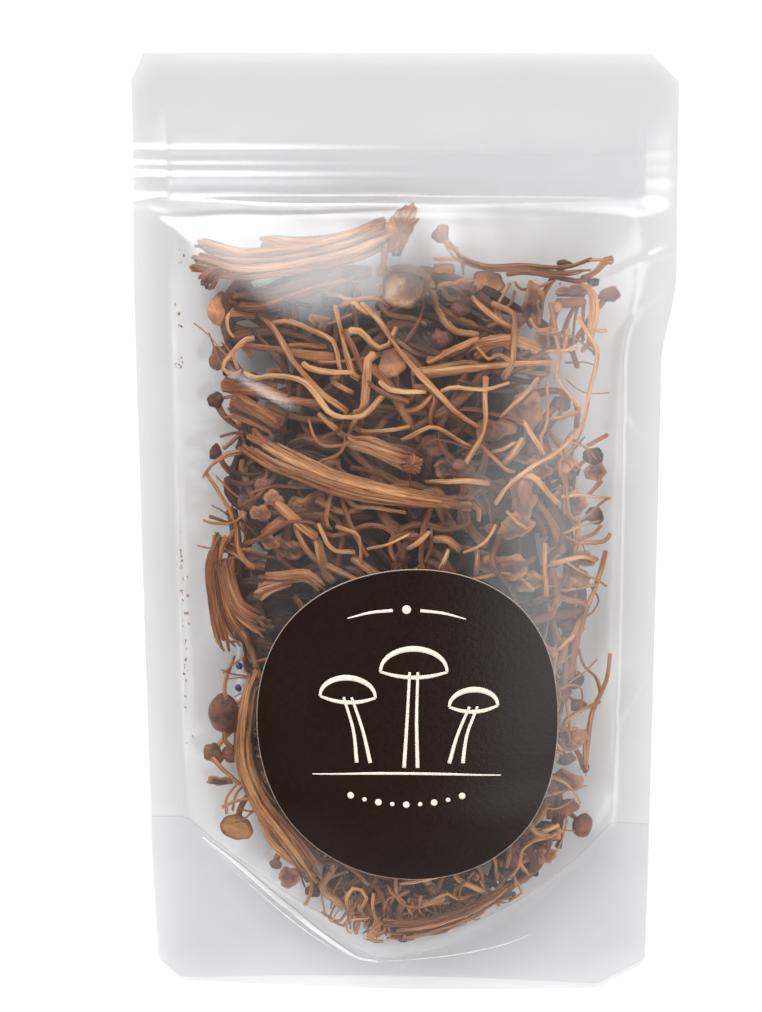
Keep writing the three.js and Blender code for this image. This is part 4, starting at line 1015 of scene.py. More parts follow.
def makeCurledCap():
    # a deep cup lying on its side, open to the lower left, with a lip drawn out to the right
    c = curledCap
    middleHeight = float(frontInner(c["x"], c["y"])) - filling["clearance"] - c["belowFilm"]
    middle = np.array([c["x"], c["y"], middleHeight])
    sides = 80
    angle = ringAngles(sides)

    def near(centre, width):
        return np.exp(-(np.angle(np.exp(1j * (angle - centre))) / width) ** 2)

    # share of the radius, share of the depth and how fleshy, from the outside round the rim to the inside
    profile = np.array([(0, 0, 0), (0.35, 0.04, 0), (0.62, 0.16, 0), (0.84, 0.4, 0), (0.97, 0.7, 0),
                        (1.02, 0.92, 0), (0.98, 1.05, 0), (0.89, 1.06, 0.15), (0.8, 0.9, 0.75),
                        (0.7, 0.64, 1), (0.56, 0.42, 1), (0.38, 0.28, 1), (0.2, 0.22, 1), (0, 0.2, 1)])
    share, rise, flesh = (profile[:, k:k + 1] for k in range(3))
    lip, roll = near(*c["lip"]), near(*c["roll"])
    wavy = 0.03 * np.sin(3 * angle + 1) + 0.04 * np.sin(5 * angle + 2.2) + 0.03 * np.sin(9 * angle)
    out = share * c["radius"] * (1 + (wavy + 0.5 * lip * (rise > 0.3)) * share ** 2)
    lift = rise - 0.5 + 0.07 * np.sin(2 * angle + 0.8) * share ** 2 + 0.05 * np.sin(5 * angle) * share ** 3
    lift = c["depth"] * (lift + share ** 3 * 0.12 * (lip + roll))
    out = out - np.clip(rise - 0.4, 0, 1) * roll * 0.12 * c["radius"]
    x, y = out * np.cos(angle), out * np.sin(angle)
    leanX, leanY = c["lean"]
    points = middle + np.stack([x - leanX * lift, y - leanY * lift, lift + leanX * x + leanY * y], -1)
    points[..., 2] = np.minimum(points[..., 2], frontInner(points[..., 0], points[..., 1]) - c["leastGap"])
    # the skin folds over the rolled side; light and shade are painted: the far wall and the tip of the lip
    # painted lit, the rolled side painted in shade
    skinOver = np.clip(1.2 * roll * (rise > 0.5), 0, 1)
    litWall = near(3.6, 0.75) + 0.7 * near(4.9, 0.7) * (rise > 0.8) + (flesh < 0.05)
    light = np.clip(mix(0.1, 1, litWall) * mix(1, 0.35, near(1.9, 0.9)) + 0.6 * lip * (rise > 0.8), 0, 1)
    fleshy = np.clip(flesh * (1 - skinOver) * (1 - 0.8 * lip), 0, 1)
    parts = Parts()
    parts.addGrid(points, tinted(len(profile), sides, 0, light, fleshy), closedAround=True, uv=(1, 12))
    piece = parts.make("curledCap", curledCapMaterial())
    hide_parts("cap_curled")
    undersides.append((c["x"], c["y"], c["radius"] + 0.4, float(points[..., 2].min()) - 0.3))


print("curled cap")
makeCurledCap()


# loose stems: those that show are laid one by one, with random ones under and between them
core = {
    "x": 1, "y": -13, "halfWidth": 25, "halfHeight": 54, "roundness": 2.6, "share": 0.38, "reach": 0.85,
    # the shape itself: ends and middle in y, how far it stays in from the sides, half its share of the height
    "low": -84, "middle": -14, "high": 50, "insetLeft": 7, "insetRight": 8, "swell": 0.12, "radius": 1.25,
}
laidStems = {
    # share of the height, radius, how light, route in x and y
    "upperLeft": [
        (0.97, 0.8, 0.6, [(-34, 54), (-32.5, 51), (-28, 47.5), (-21, 39), (-12, 30.5)]),
        (1, 0.7, 0.85, [(-29, 48.5), (-23.5, 49.5), (-16, 47), (-14, 45), (-13, 40)]),
        (0.85, 0.8, 0.45, [(-13.5, 52.5), (-10, 54), (-6, 54), (-3, 52)]),
        (0.93, 0.8, 0.7, [(-14.5, 53), (-10.5, 39.5), (-9, 38)]),
        (1, 0.8, 0.9, [(-34.5, 38.5), (-31.5, 37.5), (-28, 38.5), (-21, 37.5), (-15, 31), (-10, 30),
         (-7.5, 30.5), (-3.5, 34.5)]),
        (0.97, 0.7, 0.95, [(-21.5, 41), (-19, 40), (-10.5, 39.5)]),
        (0.98, 1, 0.75, [(-6, 43.5), (-7.5, 41.5), (-8, 32), (-10, 30.5)]),
        (0.9, 0.7, 0.7, [(-15, 37), (-10.5, 34.5)]), (0.88, 1.6, 0.55, [(-39.5, 35.5), (-18, 31.5)]),
        (0.75, 1.1, 0.4, [(-35.5, 44.5), (-15, 41.5)]), (0.85, 0.6, 0.7, [(-18, 41.5), (-7.5, 42)]),
        (0.7, 0.7, 0.5, [(-25, 44.5), (-16.5, 44.5)]),
        (1, 0.6, 0.8, [(-32.5, 46), (-35, 45.5), (-39, 41), (-39, 39), (-37, 38), (-35, 39)]),
        (0.97, 0.5, 0.75, [(-35, 45), (-37, 43), (-36, 39.5)]),
        (0.98, 0.6, 0.85, [(-37.5, 53), (-39, 50), (-38.5, 47.5), (-37, 46)]),
        (0.85, 0.4, 0.6, [(-39.5, 32), (-34.5, 33.5)]),
        (0.8, 0.9, 0.55, [(-38, 30.5), (-33.5, 30), (-26, 27.5)]),
        (0.85, 0.8, 0.75, [(-36.5, 26), (-30, 29.5)]), (0.85, 0.7, 0.7, [(-38, 31.5), (-32.5, 29.5)]),
        (0.8, 0.8, 0.6, [(-34, 24), (-26.5, 27)]), (0.8, 0.6, 0.5, [(-35.5, 24.5), (-39.5, 21)]),
        (0.93, 0.8, 0.8, [(-18, 30), (-12, 24.5)]), (0.95, 0.6, 0.7, [(-10, 29), (-12, 25)]),
        (0.97, 0.5, 0.6, [(-20, 29), (-18.5, 25.5), (-16.5, 23.5), (-10.5, 23)]),
        (0.96, 0.7, 0.75, [(-10.5, 27), (-7.5, 26), (2, 28)]),
        (0.93, 0.6, 0.55, [(-10.5, 27.5), (-6, 24.5)]),
    ],
    "upperRight": [
        (1, 0.8, 0.75, [(-9, 53.5), (9.5, 34), (17, 27.5)]),
        (0.97, 0.7, 0.9, [(-4.5, 37.5), (-3, 36), (-1, 35.5), (5.5, 35.5)]),
        (1, 0.8, 0.85, [(18.5, 38.5), (18.5, 28), (14, 19.5)]),
        (1, 0.7, 0.95, [(9, 35.5), (12, 36.5), (18, 36), (23.5, 37.5)]),
        (0.93, 1.2, 0.85, [(5, 39), (15.5, 40.5), (32.5, 41)]),
        (0.88, 1.5, 0.7, [(6, 42), (16, 45.5), (20, 46), (25, 46), (31.5, 43)]),
        (0.9, 1.1, 0.7, [(-0.5, 31), (3.5, 31.5), (7.5, 35.5)]),
        (0.98, 0.7, 0.85, [(0.5, 24.5), (5.5, 27.5), (9, 27.5), (15.5, 23.5)]),
        (0.97, 0.6, 0.65, [(30, 38), (22, 29.5)]),
        (0.97, 0.7, 0.85, [(38.5, 51), (42, 45), (42.5, 42), (40.5, 29.5), (39, 26), (34, 21.5),
         (24.5, 16), (21, 10.5)]),
        (0.95, 0.7, 0.75, [(34, 37.5), (39.5, 31)]),
        (0.95, 0.5, 0.6, [(32, 37), (32, 28.5), (31, 25.5), (31.5, 22)]),
        (0.98, 0.6, 0.75, [(27, 29), (31.5, 21.5)]), (0.9, 0.6, 0.8, [(20, 22), (25, 24)]),
        (0.85, 1.2, 0.75, [(23, 19), (27, 24)]),
        (0.93, 0.7, 0.6, [(17.5, 23.5), (22.5, 18.5), (25, 17.5)]),
        (0.9, 0.7, 0.6, [(32.5, 28.5), (39, 30)]),
        (0.98, 0.5, 0.65, [(16.5, 45), (19, 42.5), (21.5, 43.5), (24.5, 41.5)]),
        (0.93, 0.7, 0.65, [(33, 48.5), (34.5, 43), (34, 37.5)]),
        (0.9, 0.7, 0.7, [(36.5, 48.5), (35.5, 44)]), (0.95, 0.5, 0.8, [(31.5, 44), (38.5, 44)]),
        (0.9, 0.6, 0.55, [(41, 22.5), (45.5, 24.5)]), (0.9, 0.5, 0.7, [(35, 20.5), (35, 16)]),
    ],
    "topRight": [
        (0.6, 0.5, 0.6, [(7, 71.5), (9, 67.5)]), (0.6, 0.6, 0.65, [(9, 66), (12.5, 63), (16.5, 61.5)]),
        (0.6, 0.4, 0.55, [(13, 63), (13.5, 59.5)]),
        (0.62, 0.5, 0.75, [(14, 62.5), (18.5, 61), (33, 61), (38, 61.5), (46, 64.5)]),
        (0.6, 0.7, 0.6, [(23, 59.5), (27.5, 60), (38, 58.5), (40.5, 59), (46, 64)]),
        (0.6, 0.5, 0.7, [(24.5, 58), (26.5, 56.5), (33.5, 58.5)]),
        (0.62, 1, 0.5, [(39.5, 59), (42.5, 60.5), (46, 64.5)]),
        (0.7, 1, 0.85, [(39.5, 57.5), (41.5, 56), (42, 52), (41, 45.5), (39.5, 43.5)]),
        (0.7, 0.5, 0.85, [(42, 52), (42, 49), (43, 47.5), (45, 47.5)]),
        (0.55, 1, 0.5, [(34, 53.5), (40, 54)]), (0.65, 0.8, 0.65, [(32.5, 54), (34.5, 44)]),
        (0.5, 0.5, 0.5, [(38.5, 53.5), (37, 44.5)]), (0.5, 0.6, 0.45, [(40, 54), (39.5, 45.5)]),
        (0.9, 0.7, 0.65, [(15.5, 55.5), (18, 53), (26, 48)]),
        (0.8, 0.8, 0.55, [(21, 53), (22, 50.5), (24, 48.5)]), (0.8, 0.5, 0.6, [(23.5, 58), (21, 54)]),
        (0.8, 0.5, 0.45, [(24.5, 56.5), (23.5, 54), (22, 53)]),
        (0.7, 0.5, 0.75, [(39.5, 43.5), (41.5, 45.5), (42.5, 42.5)]),
    ],
    "middleLeft": [
        (0.9, 0.7, 0.65, [(-43.5, 16), (-37.5, 6.5), (-37, -0.5), (-35.5, -4), (-33, -6)]),
        (0.88, 0.5, 0.5, [(-43, 5.5), (-38, 3.5)]),
        (0.9, 0.6, 0.75, [(-37.5, 2), (-41.5, -4.5), (-42, -12.5)]),
        (0.8, 0.9, 0.8, [(-35, 7), (-35.5, 3)]), (0.97, 1, 0.75, [(-27.5, 10), (-18.5, 3)]),
        (0.8, 1.1, 0.6, [(-26, 6), (-30.5, 2)]), (0.98, 0.7, 0.55, [(-15, 15), (-16.5, 7)]),
        (0.97, 0.7, 0.85, [(-13, 13), (-11.5, 10.5), (-9.5, 9.5), (-5.5, 9.5), (1, 8)]),
        (0.98, 0.7, 0.85, [(-18, 6), (-15.5, 2), (-13.5, 0.5), (-10, 0)]),
        (0.95, 0.7, 0.75, [(-14, 5.5), (-9.5, 4.5), (-8.5, 2.5), (-8.5, -2.5)]),
        (0.98, 0.5, 0.9, [(-7, 0.5), (2, 4.5)]), (0.93, 1.4, 0.6, [(-18.5, 2), (-16.5, -6), (-15, -8)]),
        (0.7, 1.2, 0.35, [(-35, 16.5), (-34, 11.5)]), (0.95, 0.5, 0.5, [(-16, 7.5), (-15, 5)]),
    ],
    "middleRight": [
        (1, 0.7, 0.85, [(5.5, 15), (12.5, 16), (19.5, 15.5)]),
        (0.97, 0.8, 0.8, [(26, 16.5), (29.5, 16), (34.5, 10.5)]), (0.97, 0.5, 0.8, [(23.5, 9), (28, 5)]),
        (0.98, 0.5, 0.75, [(21, 6), (18.5, 2.5), (14, 0)]), (0.98, 0.7, 1, [(10.5, 0.5), (9, -3.5)]),
        (0.97, 0.7, 0.95, [(2, 0.5), (6.5, 4.5)]), (0.7, 0.7, 0.6, [(39.5, 6), (38.5, -2.5)]),
        (0.7, 0.7, 0.6, [(39, 1), (42.5, 2), (44.5, 4)]),
        (0.7, 0.6, 0.7, [(39, 0.5), (45, 0.5), (46.5, 2)]),
        (0.7, 0.8, 0.75, [(45.5, -2), (42.5, -12.5), (39, -21)]),
        (0.8, 0.7, 0.8, [(32, -4), (40, -2.5), (43, -4)]), (0.95, 1, 0.6, [(17, 0), (16.5, -5)]),
        (0.9, 1, 0.6, [(7.5, 2.5), (10.5, 2.5), (13, 0)]),
        (0.9, 0.8, 0.7, [(16, 9.5), (17.5, 8.5), (17.5, 6)]),
        (0.75, 0.4, 0.75, [(32, -8.5), (37, -10), (43.5, -9.5)]), (0.9, 0.7, 0.7, [(32, 1), (32.5, -11)]),
        (0.75, 0.5, 0.6, [(35.5, 2.5), (39, 0.5)]), (0.7, 0.4, 0.6, [(42.5, 12.5), (45.5, 16)]),
        (0.7, 0.5, 0.5, [(41.5, 11), (44.5, 14)]),
    ],
    "lowLeft": [
        (0.6, 0.5, 0.6, [(-38, -27), (-40, -34), (-39.5, -36.5)]),
        (0.7, 0.7, 0.7, [(-43, -51), (-37, -57.5)]),
        (0.7, 0.4, 0.75, [(-40, -64.5), (-40, -60.5), (-38, -57.5)]),
        (0.7, 0.5, 0.7, [(-38.5, -63.5), (-38, -60), (-36.5, -58)]),
        (0.7, 0.9, 0.7, [(-29.5, -71.5), (-35, -59.5)]),
        (0.8, 0.6, 0.55, [(-40.5, -44.5), (-40, -47), (-38.5, -48.5)]),
    ],
    "lowRight": [
        (0.6, 0.5, 0.6, [(40, -24.5), (41.5, -28.5), (44, -31), (45, -34.5)]),
        (0.6, 0.7, 0.55, [(47, -26), (46.5, -30.5), (43, -41.5), (42, -53)]),
        (0.6, 0.6, 0.7, [(45, -37), (38, -40.5), (36.5, -43.5)]),
        (0.6, 0.6, 0.8, [(32.5, -13), (35.5, -23.5), (39, -20), (40.5, -15.5)]),
        (0.7, 0.6, 0.75, [(35, -24), (41, -19)]), (0.6, 0.6, 0.75, [(37, -34), (38.5, -43.5)]),
        (0.6, 0.6, 0.7, [(39, -24), (39.5, -30)]), (0.6, 0.6, 0.65, [(41.5, -44), (41.5, -51.5)]),
        (0.9, 0.5, 0.95, [(31, -67), (36, -65.5)]), (0.9, 0.5, 0.95, [(31.5, -69), (35.5, -67.5)]),
    ],
    "bottom": [
        (0.97, 0.7, 0.8, [(12.5, -76.5), (22.5, -86.5)]),
        (0.8, 1.1, 0.85, [(3, -91.5), (9.5, -90.5), (19.5, -86.5)]),
        (0.9, 1, 0.8, [(-32, -66), (-29.5, -71), (-20, -80)]), (0.97, 0.7, 0.75, [(0, -78), (9.5, -76)]),
        (0.95, 0.6, 0.7, [(6.5, -83.5), (10.5, -81.5), (13.5, -84), (17.5, -83.5)]),
        (0.97, 0.6, 0.8, [(-11.5, -87.5), (-12.5, -84), (-10.5, -80.5), (-8, -82.5), (-9.5, -86)]),
        (0.95, 0.7, 0.6, [(-14, -75), (-10, -76.5), (-7, -79)]),
        (0.95, 0.7, 0.5, [(-3, -79), (-1, -81.5), (2, -80.5)]),
        (0.95, 0.6, 0.75, [(-6, -81.5), (-6.5, -87), (-5.5, -92.5)]),
    ],
}

denseEdge = {
    # where the filling is thick: y, then its left and right limits
    "y": [-94.5, -91, -87, -82, -72, -60, -36, -25, -13, 0, 14, 24, 32, 45, 52, 60],
    "left": [-3, -8, -13, -20, -29, -33, -34, -36, -39, -37, -38, -36, -38, -40, -40, -34],
    "right": [2, 8, 20, 28, 35, 35, 36, 38, 41, 38, 39, 38, 40, 37, 26, 10],
}
looseStems = {
    "seed": 2024, "low": -92, "high": 57,
    # layers from the back film to the front film
    "layers": [
        # how many, share of the height, length, radius, sides, painted light and shade of the layer, darkest
        # in the middle layers
        (100, (0.02, 0.2), (22, 46), (0.7, 1.4), 7, (0.5, 0.95)),
        (130, (0.25, 0.5), (20, 42), (0.7, 1.5), 6, (0.12, 0.4)),
        (130, (0.5, 0.72), (14, 36), (0.6, 1.3), 7, (0.18, 0.55)),
        (110, (0.72, 0.88), (10, 30), (0.45, 1.1), 7, (0.3, 0.8)),
        (46, (0.88, 0.99), (7, 22), (0.35, 0.85), 8, (0.5, 1.0)),
    ],
    # bow and sway as shares of the length, how often and how far some are bent double, tilt in height,
    # and how far in from the edge of the thick part
    "bow": 0.13, "sway": 0.08, "bentOften": 0.15, "bent": 0.42, "tilt": 0.06, "inset": (-1, 2.5),
    # some stems of the middle layers carry a cap
    "cappedOften": 0.2, "cappedLayers": (2, 3), "capSize": (1.5, 2.9), "capLift": 0.7,
}
stemLook = {"step": 1.5, "flat": (0.5, 0.95), "twist": 0.14, "ridges": 0.12, "capStem": 0.7}
stemWays = {
    # heading and spread in radians: mostly across the pouch, steeper at its edges, fanning out at the bottom
    "middle": (-0.2, 0.75), "left": (-0.9, 0.8), "right": (math.pi / 2, 0.6), "leftOf": -34, "rightOf": 32,
    "fanBelow": -66, "fanMiddle": 2, "fanOut": 0.6, "fanDown": -20, "fanSpread": 0.7,
}
markedStems = {
    # thick stems are flatter; both ends of those near the top sink a little
    "seed": 77, "thickFrom": 0.9,
    "thick": {"girth": 1.05, "flat": 0.5}, "thin": {"girth": 0.84, "flat": 0.75},
    "sink": 0.12, "sinkFrom": 0.75, "sides": 12, "crook": 0.3, "taper": (-0.25, 0.35), "toneSpread": 0.08,
}
crumpledCaps = {"seed": 606, "count": 90, "low": -88, "high": 54, "height": (0.3, 0.8), "size": (1.8, 3.6)}
fibres = {
    "seed": 404, "facets": 5, "length": (5, 13), "bow": 1.8, "height": (0.6, 1),
    "fringe": {"count": 90, "middle": 2, "spread": 11, "aboveSeal": (6, 14), "wander": 0.5, "fan": 0.012,
               "light": (0.75, 1), "radius": (0.22, 0.5)},
    "sides": {"count": 60, "low": -75, "high": 50, "wander": 1.0, "light": (0.5, 0.9), "radius": (0.2, 0.4)},
}


def rootOf(x, y):
    # where in the core a stem with a cap at x, y comes from
    dx, dy = (x - core["x"]) / core["halfWidth"], (y - core["y"]) / core["halfHeight"]
    out = (abs(dx) ** core["roundness"] + abs(dy) ** core["roundness"]) ** (1 / core["roundness"])
    share = min(1, core["reach"] / max(out, 1e-6))
    return core["x"] + dx * share * core["halfWidth"], core["y"] + dy * share * core["halfHeight"]


def denseLimits(y):
    return (np.interp(y, denseEdge["y"], denseEdge[side]) for side in ("left", "right"))


def pathOnShare(route, radius, shareAt, rng, crook):
    # a path along route whose height is a share of the room between the films
    length = pathLength(np.asarray(route, float))
    at = curveThrough(route, max(9, int(length / stemLook["step"])))
    t = np.linspace(0, 1, len(at))
    aside = waves(rng, t, crook, length / 22) + waves(rng, t, crook * 0.35, length / 7)
    x, y = keepInside(*(at + besidePath(at) * aside[:, None]).T, radius)
    share = shareAt(t) + waves(rng, t, 0.02, length / 16)
    z = layerHeight(x, y, share, radius)
    z = np.convolve(np.pad(z, 2, mode="edge"), np.ones(5) / 5, mode="valid")
    return np.stack([x, y, z], 1)


def layStem(parts, route, radius, shareAt, rng, tint, sides=8, flat=None, crook=0.5, taper=0.32):
    path = pathOnShare(route, radius, shareAt, rng, crook)
    t = np.linspace(0, 1, len(path))
    flat = rng.uniform(*stemLook["flat"]) if flat is None else flat
    twist = rng.uniform(-1, 1) * stemLook["twist"] * pathLength(path)
    widths = radius * (1 + 0.5 * taper - taper * t)
    addTube(parts, path, widths, tint, rng, sides=sides, flat=flat, twist=twist, ridges=stemLook["ridges"])
    return path


def headingAt(x, y, rng):
    w = stemWays
    if y < w["fanBelow"]:
        return math.atan2(w["fanDown"], (x - w["fanMiddle"]) * w["fanOut"]) + rng.normal(0, w["fanSpread"])
    if x > w["rightOf"]:
        return rng.normal(*w["right"])
    return rng.normal(*w["left"]) if x < w["leftOf"] else rng.normal(*w["middle"])


def intoDense(route, inset):
    # keeps a route within the thick part of the filling
    left, right = denseLimits(route[:, 1])
    x = np.clip(route[:, 0], left + inset, np.maximum(left + inset, right - inset))
    return np.stack([x, np.clip(route[:, 1], denseEdge["y"][0], denseEdge["y"][-1])], 1)


# places where light comes through the filling: x, y at the front film
openSpots = {
    "places": [(-18.4, 55), (-19.2, 51), (-33.6, 41.8), (-30, 41.2), (-30.5, -3), (-24.5, -15.5),
               (33, 42), (38, 37), (37, 25)],
    # the light leans a little to the upper right on its way through
    "radius": 2.1, "shift": (-0.6, -1.2),
}


def leavesSpotsOpen(route):
    fine = curveThrough(route, 40)[:, None, :]
    places = np.array(openSpots["places"])[None] + openSpots["shift"]
    return float(np.linalg.norm(fine - places, axis=2).min()) > openSpots["radius"]


def looseRoute(x, y, length, rng):
    # a bowed and swaying route with its middle at x, y
    loose = looseStems
    heading = headingAt(x, y, rng)
    length = rng.uniform(*length)
    way = np.array([math.cos(heading), math.sin(heading)])
    bow, sway = rng.normal(0, length * loose["bow"]), rng.normal(0, length * loose["sway"])
    if rng.random() < loose["bentOften"]:
        bow = length * rng.choice([-loose["bent"], loose["bent"]])
    steps = np.linspace(0, 1, 6)[:, None]
    aside = bow * np.sin(np.pi * steps) + sway * np.sin(2 * np.pi * steps)
    route = np.array([x, y]) + (2 * steps - 1) * way * length / 2 + aside * np.array([-way[1], way[0]])
    return intoDense(route, rng.uniform(*loose["inset"]))


def layLooseStems(tangle, capParts):
    loose = looseStems
    rng = np.random.default_rng(loose["seed"])
    for depth, (count, heights, lengths, radii, sides, lights) in enumerate(loose["layers"]):
        for i in range(count):
            y = mix(loose["low"], loose["high"], (i + rng.random()) / count)
            x = mix(*denseLimits(y), rng.random())
            route = looseRoute(x, y, lengths, rng)
            level, tilt = rng.uniform(*heights), rng.normal(0, loose["tilt"])
            radius = rng.uniform(*radii)
            tint = (rng.random(), rng.uniform(*lights))
            home = tangle if leavesSpotsOpen(route) else Parts()
            path = layStem(home, route, radius, lambda t: np.clip(level + tilt * (t - 0.5), 0, 1), rng, tint,
                           sides)
            if rng.random() < loose["cappedOften"] and depth in loose["cappedLayers"]:
                capOnTip(capParts, path, tint, rng)


def capOnTip(capParts, path, tint, rng):
    tip = path[-1]
    size = rng.uniform(*looseStems["capSize"])
    facing = tip - path[-4]
    facing = facing / np.linalg.norm(facing) + np.array([0, 0, looseStems["capLift"]])
    room = highestCentre(tip[0], tip[1], 0.8 * size, size)
    if room > tip[2] - 2:
        centre = np.array([tip[0], tip[1], min(tip[2], room) - 0.3 * size])
        addCap(capParts, centre, facing, size, size, rng, tint=(rng.random(), tint[1]))


def layMarkedStems(tangle):
    m = markedStems
    rng = np.random.default_rng(m["seed"])
    for level, radius, tone, route in (stem for group in laidStems.values() for stem in group):
        kind = m["thick"] if radius >= m["thickFrom"] else m["thin"]
        sink = m["sink"] if level > m["sinkFrom"] else 0
        spread = m["toneSpread"]
        # the second value is painted light and shade: stems lying higher, and lighter ones, are painted
        # brighter
        tint = (tone + rng.uniform(-spread, spread), mix(0.5, 1.0, min(1, level * 0.55 + tone * 0.5)))
        layStem(tangle, route, radius * kind["girth"],
                lambda t: level - sink * (smooth((0.12 - t) / 0.12) + smooth((t - 0.88) / 0.12)), rng, tint,
                sides=m["sides"], flat=kind["flat"], crook=m["crook"], taper=rng.uniform(*m["taper"]))


# how far each kind of cap leans away from the core, and how puckered the smoother ones are
laidTilts = {
    "dome": (0.25, 0.6), "smooth": (0.1, 0.2), "side": (0.9, 1.3), "ring": (0.1, 0.3), "bowl": (0.3, 0.6),
}
laidPucker = {"smooth": 0.35, "bowl": 0.4}


def layMarkedCaps(tangle, capParts, underParts):
    rng = np.random.default_rng(91)
    for x, y, halfWide, halfHigh, level, tone, kind in laidCaps:
        size = (halfWide + halfHigh) / 2
        half, reach = 0.5 * size, 0.8 * size
        low = max(lowestCentre(x, y, half, reach), floorAt(x, y, half))
        high = min(highestCentre(x, y, half, reach), ceilingAt(x, y, half, reach))
        z = float(mix(low, max(low, high), level))
        tint = (tone + rng.uniform(-0.06, 0.06), mix(0.55, 1.0, tone))
        if kind == "leaf":
            addLeaf(capParts, (x, y, z), halfWide * 1.1, halfHigh * 1.1, rng, tint)
            continue
        root = rootOf(x, y)
        away = math.dist((x, y), root)
        lean = rng.uniform(*laidTilts[kind])
        out = ((x - root[0]) / away, (y - root[1]) / away) if away > 1 else (0.3, 1)
        # rings and bowls show their undersides
        turnedOver = kind in ("ring", "bowl")
        home, way, sink = (underParts, -1, -0.3) if turnedOver else (capParts, 1, 0.4)
        facing = (way * out[0] * lean, way * out[1] * lean, way)
        addCap(home, (x, y, z - sink * size), facing, halfWide, halfHigh, rng, laidPucker.get(kind, 1), tint)
        # its stem sinks back into the tangle
        bottom, top = floorAt(x, y, 0.8), ceilingAt(x, y, 0.8)
        share = float(np.clip((z - 0.35 * size - bottom) / max(0.1, top - bottom), 0, 1))
        tip, end = np.array([x, y]), np.array([x, y]) - 13 * np.array(out)
        route = np.array([tip, mix(tip, end, 0.5) + rng.normal(0, 1.0, 2), end])
        layStem(tangle, route, stemLook["capStem"], lambda t: mix(share, max(0.2, share - 0.35), smooth(t)),
                rng, (rng.uniform(0.3, 0.8), 0.8), taper=0.1)


def addLeaf(parts, centre, halfWide, halfHigh, rng, tint):
    # a crumpled piece of cap: a bent, thick-edged flake with a torn outline
    rings, sides = 7, 30
    angle = ringAngles(sides)
    share = np.linspace(0, 1, rings)[:, None]
    phase = rng.uniform(0, 6.28, 8)
    edge = 1 + 0.16 * np.sin(2 * angle + phase[0]) + 0.12 * np.sin(3 * angle + phase[1])
    edge = edge + 0.08 * np.sin(5 * angle + phase[2]) + 0.05 * np.sin(9 * angle + phase[3])
    u, v = share * edge * np.cos(angle), share * edge * np.sin(angle)
    size = (halfWide + halfHigh) / 2
    turn = rng.uniform(0, np.pi)
    across = u * math.cos(turn) + v * math.sin(turn)
    fold = 0.55 * (np.abs(across + 0.25 * np.sin(2.2 * v + phase[4])) - 0.35)
    rumple = np.sin(3.5 * u + phase[5]) + np.sin(4.5 * v + phase[6]) + 0.5 * np.sin(8 * (u + v) + phase[7])
    lift = size * (0.128 * rumple - fold * rng.choice([0.6, 1.0]))
    thick = 0.22 * size * np.sqrt(np.clip(1 - share ** 4, 0, 1)) + 0.12
    x, y = u * halfWide, v * halfHigh
    shell = bothSides([x, y, lift - thick], [x, y, lift + thick]) + np.asarray(centre)
    tints = tinted(2 * rings, sides, *tint, np.concatenate([share, share[::-1]]))
    parts.addGrid(shell, tints, closedAround=True)


def layCrumpledCaps(capParts):
    # caps pressed flat between the stems
    c = crumpledCaps
    rng = np.random.default_rng(c["seed"])
    for i in range(c["count"]):
        y = mix(c["low"], c["high"], (i + rng.random()) / c["count"])
        left, right = denseLimits(y)
        x = rng.uniform(left + 2, right - 2)
        share = rng.uniform(*c["height"])
        size = rng.uniform(*c["size"])
        z = float(layerHeight(x, y, share, 0.7 * size))
        # painted shade: caps lying deeper are darker
        light = mix(0.25, 0.8, (share - 0.3) / 0.5) * rng.uniform(0.7, 1)
        addLeaf(capParts, (x, y, z), size, size * rng.uniform(0.6, 1), rng, (rng.uniform(0.2, 0.8), light))


def layFibres(tangle):
    # thin threads that stand out in the fringe at the bottom and then at the edges
    rng = np.random.default_rng(fibres["seed"])
    steps = np.linspace(0, 1, 5)[:, None]
    for kind in ["fringe"] * fibres["fringe"]["count"] + ["sides"] * fibres["sides"]["count"]:
        f = fibres[kind]
        if kind == "fringe":
            x = rng.normal(f["middle"], f["spread"])
            start = np.array([x, float(gussetSeal(x)) + rng.uniform(*f["aboveSeal"])])
            heading = -math.pi / 2 + rng.normal(0, f["wander"]) + f["fan"] * x
        else:
            y = rng.uniform(f["low"], f["high"])
            side = rng.choice(["left", "right"])
            start = np.array([np.interp(y, denseEdge["y"], denseEdge[side]), y])
            heading = (math.pi if side == "left" else 0) + rng.normal(0, f["wander"])
        light, radius = rng.uniform(*f["light"]), rng.uniform(*f["radius"])
        length = rng.uniform(*fibres["length"])
        way = np.array([math.cos(heading), math.sin(heading)])
        bow = rng.normal(0, fibres["bow"]) * np.sin(np.pi * steps)
        route = start + way * length * (steps - 0.3) + np.array([-way[1], way[0]]) * bow
        level = rng.uniform(*fibres["height"])
        layStem(tangle, route, radius, lambda t: level + 0 * t, rng, (rng.uniform(0.5, 1), light),
                sides=fibres["facets"])


def makeShadeCore():
    # a filler body inside the tangle, painted near black as shade, which shows only between stems
    c = core
    parts = Parts()
    angle = ringAngles(60)
    rings = np.array([0, 0.3, 0.55, 0.75, 0.9, 1.0])[:, None]
    y = mix(c["middle"], mix(c["low"], c["high"], (np.sin(angle) + 1) / 2), rings)
    left, right = denseLimits(y)
    rim = np.where(np.cos(angle) < 0, left + c["insetLeft"], right - c["insetRight"])
    x = mix((left + right) / 2, rim, rings * np.abs(np.cos(angle)) ** 0.5)
    rough = gentleRelief(x, y, 31, 12, 0.8)
    swell = c["swell"] * (1 - 0.75 * rings ** 4)
    top, under = (layerHeight(x, y, c["share"] + way * swell, c["radius"]) + rough for way in (1, -1))
    shell = bothSides([x, y, top], [x, y, under])
    # its light value of 0.02 is painted deep shade
    parts.addGrid(shell, (0.1, 0.02, 0.5, 1), closedAround=True, uv=(90, 90), flip=True)
    return parts.make("tangleShadeCore", materials["stem"])


